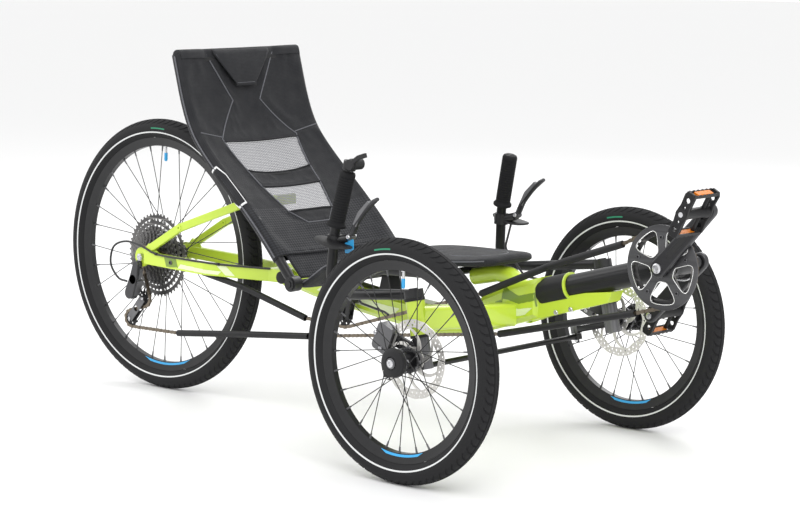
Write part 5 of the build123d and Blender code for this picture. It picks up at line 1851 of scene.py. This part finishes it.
def make_steering_details():
    """Kingpin caps, tie rod nuts and caliper fastenings on both sides."""
    tilt = kingpin_lean
    for name, side in side_names.items():
        king = Vector((front_x, side * kingpin_y, kingpin_z))
        caps = Shape()
        caps.turned(
            [
                (0.0, 0.1142), (0.0205, 0.1142), (0.0212, 0.117), (0.0205, 0.121), (0.013, 0.122),
                (0.0, 0.122)
            ],
            king, tilt, sides=40
        )
        caps.turned(
            [(0.0, 0.0400), (0.0200, 0.0400), (0.0206, 0.043), (0.0200, 0.0458), (0.0, 0.0458)], king,
            tilt, sides=40
        )
        piece(f"kingpin_caps_{name}", caps, black_plastic, "frame", crease=35)
        nuts = Shape()
        eye = Vector((front_x - 0.095, side * kingpin_y, 0.203))
        bolt(nuts, eye + Vector((0, 0, 0.0085)), Vector((0, 0, 1)), 0.0060, 0.004, 0)
        bolt(nuts, eye - Vector((0, 0, 0.0085)), Vector((0, 0, -1)), 0.0055, 0.004, 0)
        piece(f"tie_rod_nuts_{name}", nuts, bright_steel, f"steering_{name}", crease=40)
        calm = Shape()
        centre = Vector((front_x - 0.078, side * 0.337, 0.281))
        turn = math.radians(-24)
        u = Vector((math.cos(turn), 0, -math.sin(turn)))
        v = Vector((math.sin(turn), 0, math.cos(turn)))
        for a, b in ((-0.012, 0.017), (-0.012, -0.017)):
            bolt(
                calm, centre + u * a + v * b + Vector((0, side * 0.0110, 0)), Vector((0, side, 0)),
                0.0045, 0.003, 0
            )
            bolt(
                calm, centre + u * a + v * b - Vector((0, side * 0.0110, 0)), Vector((0, -side, 0)),
                0.0045, 0.003, 0
            )
        piece(f"caliper_bolts_{name}", calm, bright_steel, f"steering_{name}", crease=40)
        piston = Shape()
        piston.turned(
            [(0.0, 0.0), (0.0132, 0.0), (0.0132, 0.002), (0.0118, 0.003), (0.0, 0.003)],
            centre + u * 0.008 + Vector((0, -side * 0.0108, 0)), Vector((0, -side, 0)), sides=32
        )
        piece(f"caliper_cap_{name}", piston, black_alloy, f"steering_{name}", crease=35)


def visible_run(node, x, side, low, high):
    """The places where a node's outer side is met at x: (height, y) pairs, from below."""
    thing = bpy.data.objects[node]
    turned_in = thing.matrix_world.inverted()
    run = []
    for k in range(round((high - low) / 0.001)):
        z = low + k * 0.001
        origin = turned_in @ Vector((x, side * 0.60, z))
        aim = (turned_in.to_3x3() @ Vector((0, -side, 0))).normalized()
        hit, place, _, _ = thing.ray_cast(origin, aim)
        if hit:
            run.append((z, (thing.matrix_world @ place).y))
        elif run:
            break
    return run


def lay_painted_light_band(shape, node, side, start, end, low_share, high_share, heights, slant=0.0, lift=0.0005):
    """A thin band laid on a node's side between two stations, to carry painted highlight and painted shade.
    """
    rows = []
    for k in range(41):
        row = []
        for j in range(9):
            height = j / 8
            x = start + (end - start) * k / 40 + slant * (height - 0.5)
            run = visible_run(node, x, side, *heights)
            if len(run) < 4:
                return
            share = low_share[0] + (low_share[1] - low_share[0]) * k / 40
            top = high_share[0] + (high_share[1] - high_share[0]) * k / 40
            share += (top - share) * height
            z = run[0][0] + (run[-1][0] - run[0][0]) * share
            y = min(run, key=lambda spot: abs(spot[0] - z))[1]
            row.append(Vector((x, y + side * lift, z)))
        rows.append(row)
    shape.rows(rows, ring_of_points=False)


def make_frame_bands():
    """Bands of painted highlight (pale lime) and painted shade (olive lime) on the keel and the rear stays.
    """
    stay_heights = (0.285, 0.36)
    keel_heights = (0.20, 0.44)
    keel_rear_heights = (0.20, 0.40)
    pale, dark = Shape(), Shape()
    for name, side in side_names.items():
        # the pale rows lay painted highlight and the dark row lays painted shade on each stay
        for shape, start, end, low, high, slant in (
            (pale, 0.136, 0.262, (0.16, 0.14), (0.52, 0.42), 0.010),
            (pale, 0.266, 0.292, (0.14, 0.14), (0.86, 0.86), -0.024),
            (dark, 0.088, 0.128, (0.10, 0.22), (0.92, 0.92), -0.008),
        ):
            node = f"rear_stays_{name}"
            lay_painted_light_band(
                shape, node, side, rear_x + start, rear_x + end, low, high, stay_heights, slant=slant
            )
    # painted highlight and painted shade on the rear stays
    piece("stay_painted_highlight_bands", pale, lime_painted_highlight, "rear_frame", crease=60)
    piece("stay_painted_shade_bands", dark, painted_shade_lime, "rear_frame", crease=60)
    pale, dark = Shape(), Shape()
    for side in (-1, 1):
        # the dark row lays painted shade and the pale rows lay painted highlight on the keel
        for shape, start, end, low, high, heights, slant in (
            (dark, -0.052, 0.056, (0.50, 0.46), (0.70, 0.66), keel_heights, 0.004),
            (pale, -0.040, 0.040, (0.22, 0.16), (0.40, 0.30), keel_heights, 0.020),
            (pale, -0.560, -0.330, (0.34, 0.30), (0.62, 0.62), keel_rear_heights, 0.020),
        ):
            lay_painted_light_band(
                shape, "keel", side, front_x + start, front_x + end, low, high, heights, slant=slant
            )
    # painted highlight and painted shade on the keel
    piece("keel_painted_highlight_bands", pale, lime_painted_highlight, "frame", crease=60)
    piece("keel_painted_shade_bands", dark, painted_shade_lime, "frame", crease=60)
    bolts = Shape()
    for name, side in side_names.items():
        run = visible_run(f"rear_stays_{name}", rear_x + 0.108, side, 0.285, 0.36)
        if run:
            z, y = run[len(run) // 2]
            bolt(bolts, Vector((rear_x + 0.108, y, z)), Vector((0, side, 0)), 0.0050, 0.0034, 0)
    piece("stay_clip_bolts", bolts, black_alloy, "rear_frame", crease=40)


make_controls()
make_boom_details()
make_steering_details()
make_frame_bands()


def make_gear_cable():
    """The gear cable's housing: its loop to the derailleur, then along the right stay."""
    loop = [
        (-0.047, 0.262), (-0.078, 0.268), (-0.104, 0.300), (-0.092, 0.342), (-0.046, 0.358),
        (0.010, 0.350)
    ]
    cable_y = centre_of("gear_cable").y
    path = [Vector((rear_x + dx, cable_y, z)) for dx, z in loop]
    for dx, z in ((0.060, 0.3440), (0.140, 0.3385), (0.260, 0.3360), (0.400, 0.3350)):
        run = visible_run("rear_stays_right", rear_x + dx, -1, 0.285, z)
        y = run[-1][1] if run else path[-1].y
        path.append(Vector((rear_x + dx, y - 0.0030, min(z, run[-1][0] if run else z))))
    housing = Shape()
    housing.tube(smooth_path([tuple(p) for p in path], 8), 0.0025, sides=12)
    piece(
        "gear_cable_housing", housing, cable_rubber, "rear_frame", ["gear_cable"],
        crease=60
    )
    clips = Shape()
    for spot in (path[6], path[8]):
        clips.tube([spot - Vector((0.004, 0, 0)), spot + Vector((0.004, 0, 0))], 0.0036, sides=14)
    piece("gear_cable_clips", clips, black_plastic, "rear_frame", crease=40)


make_gear_cable()
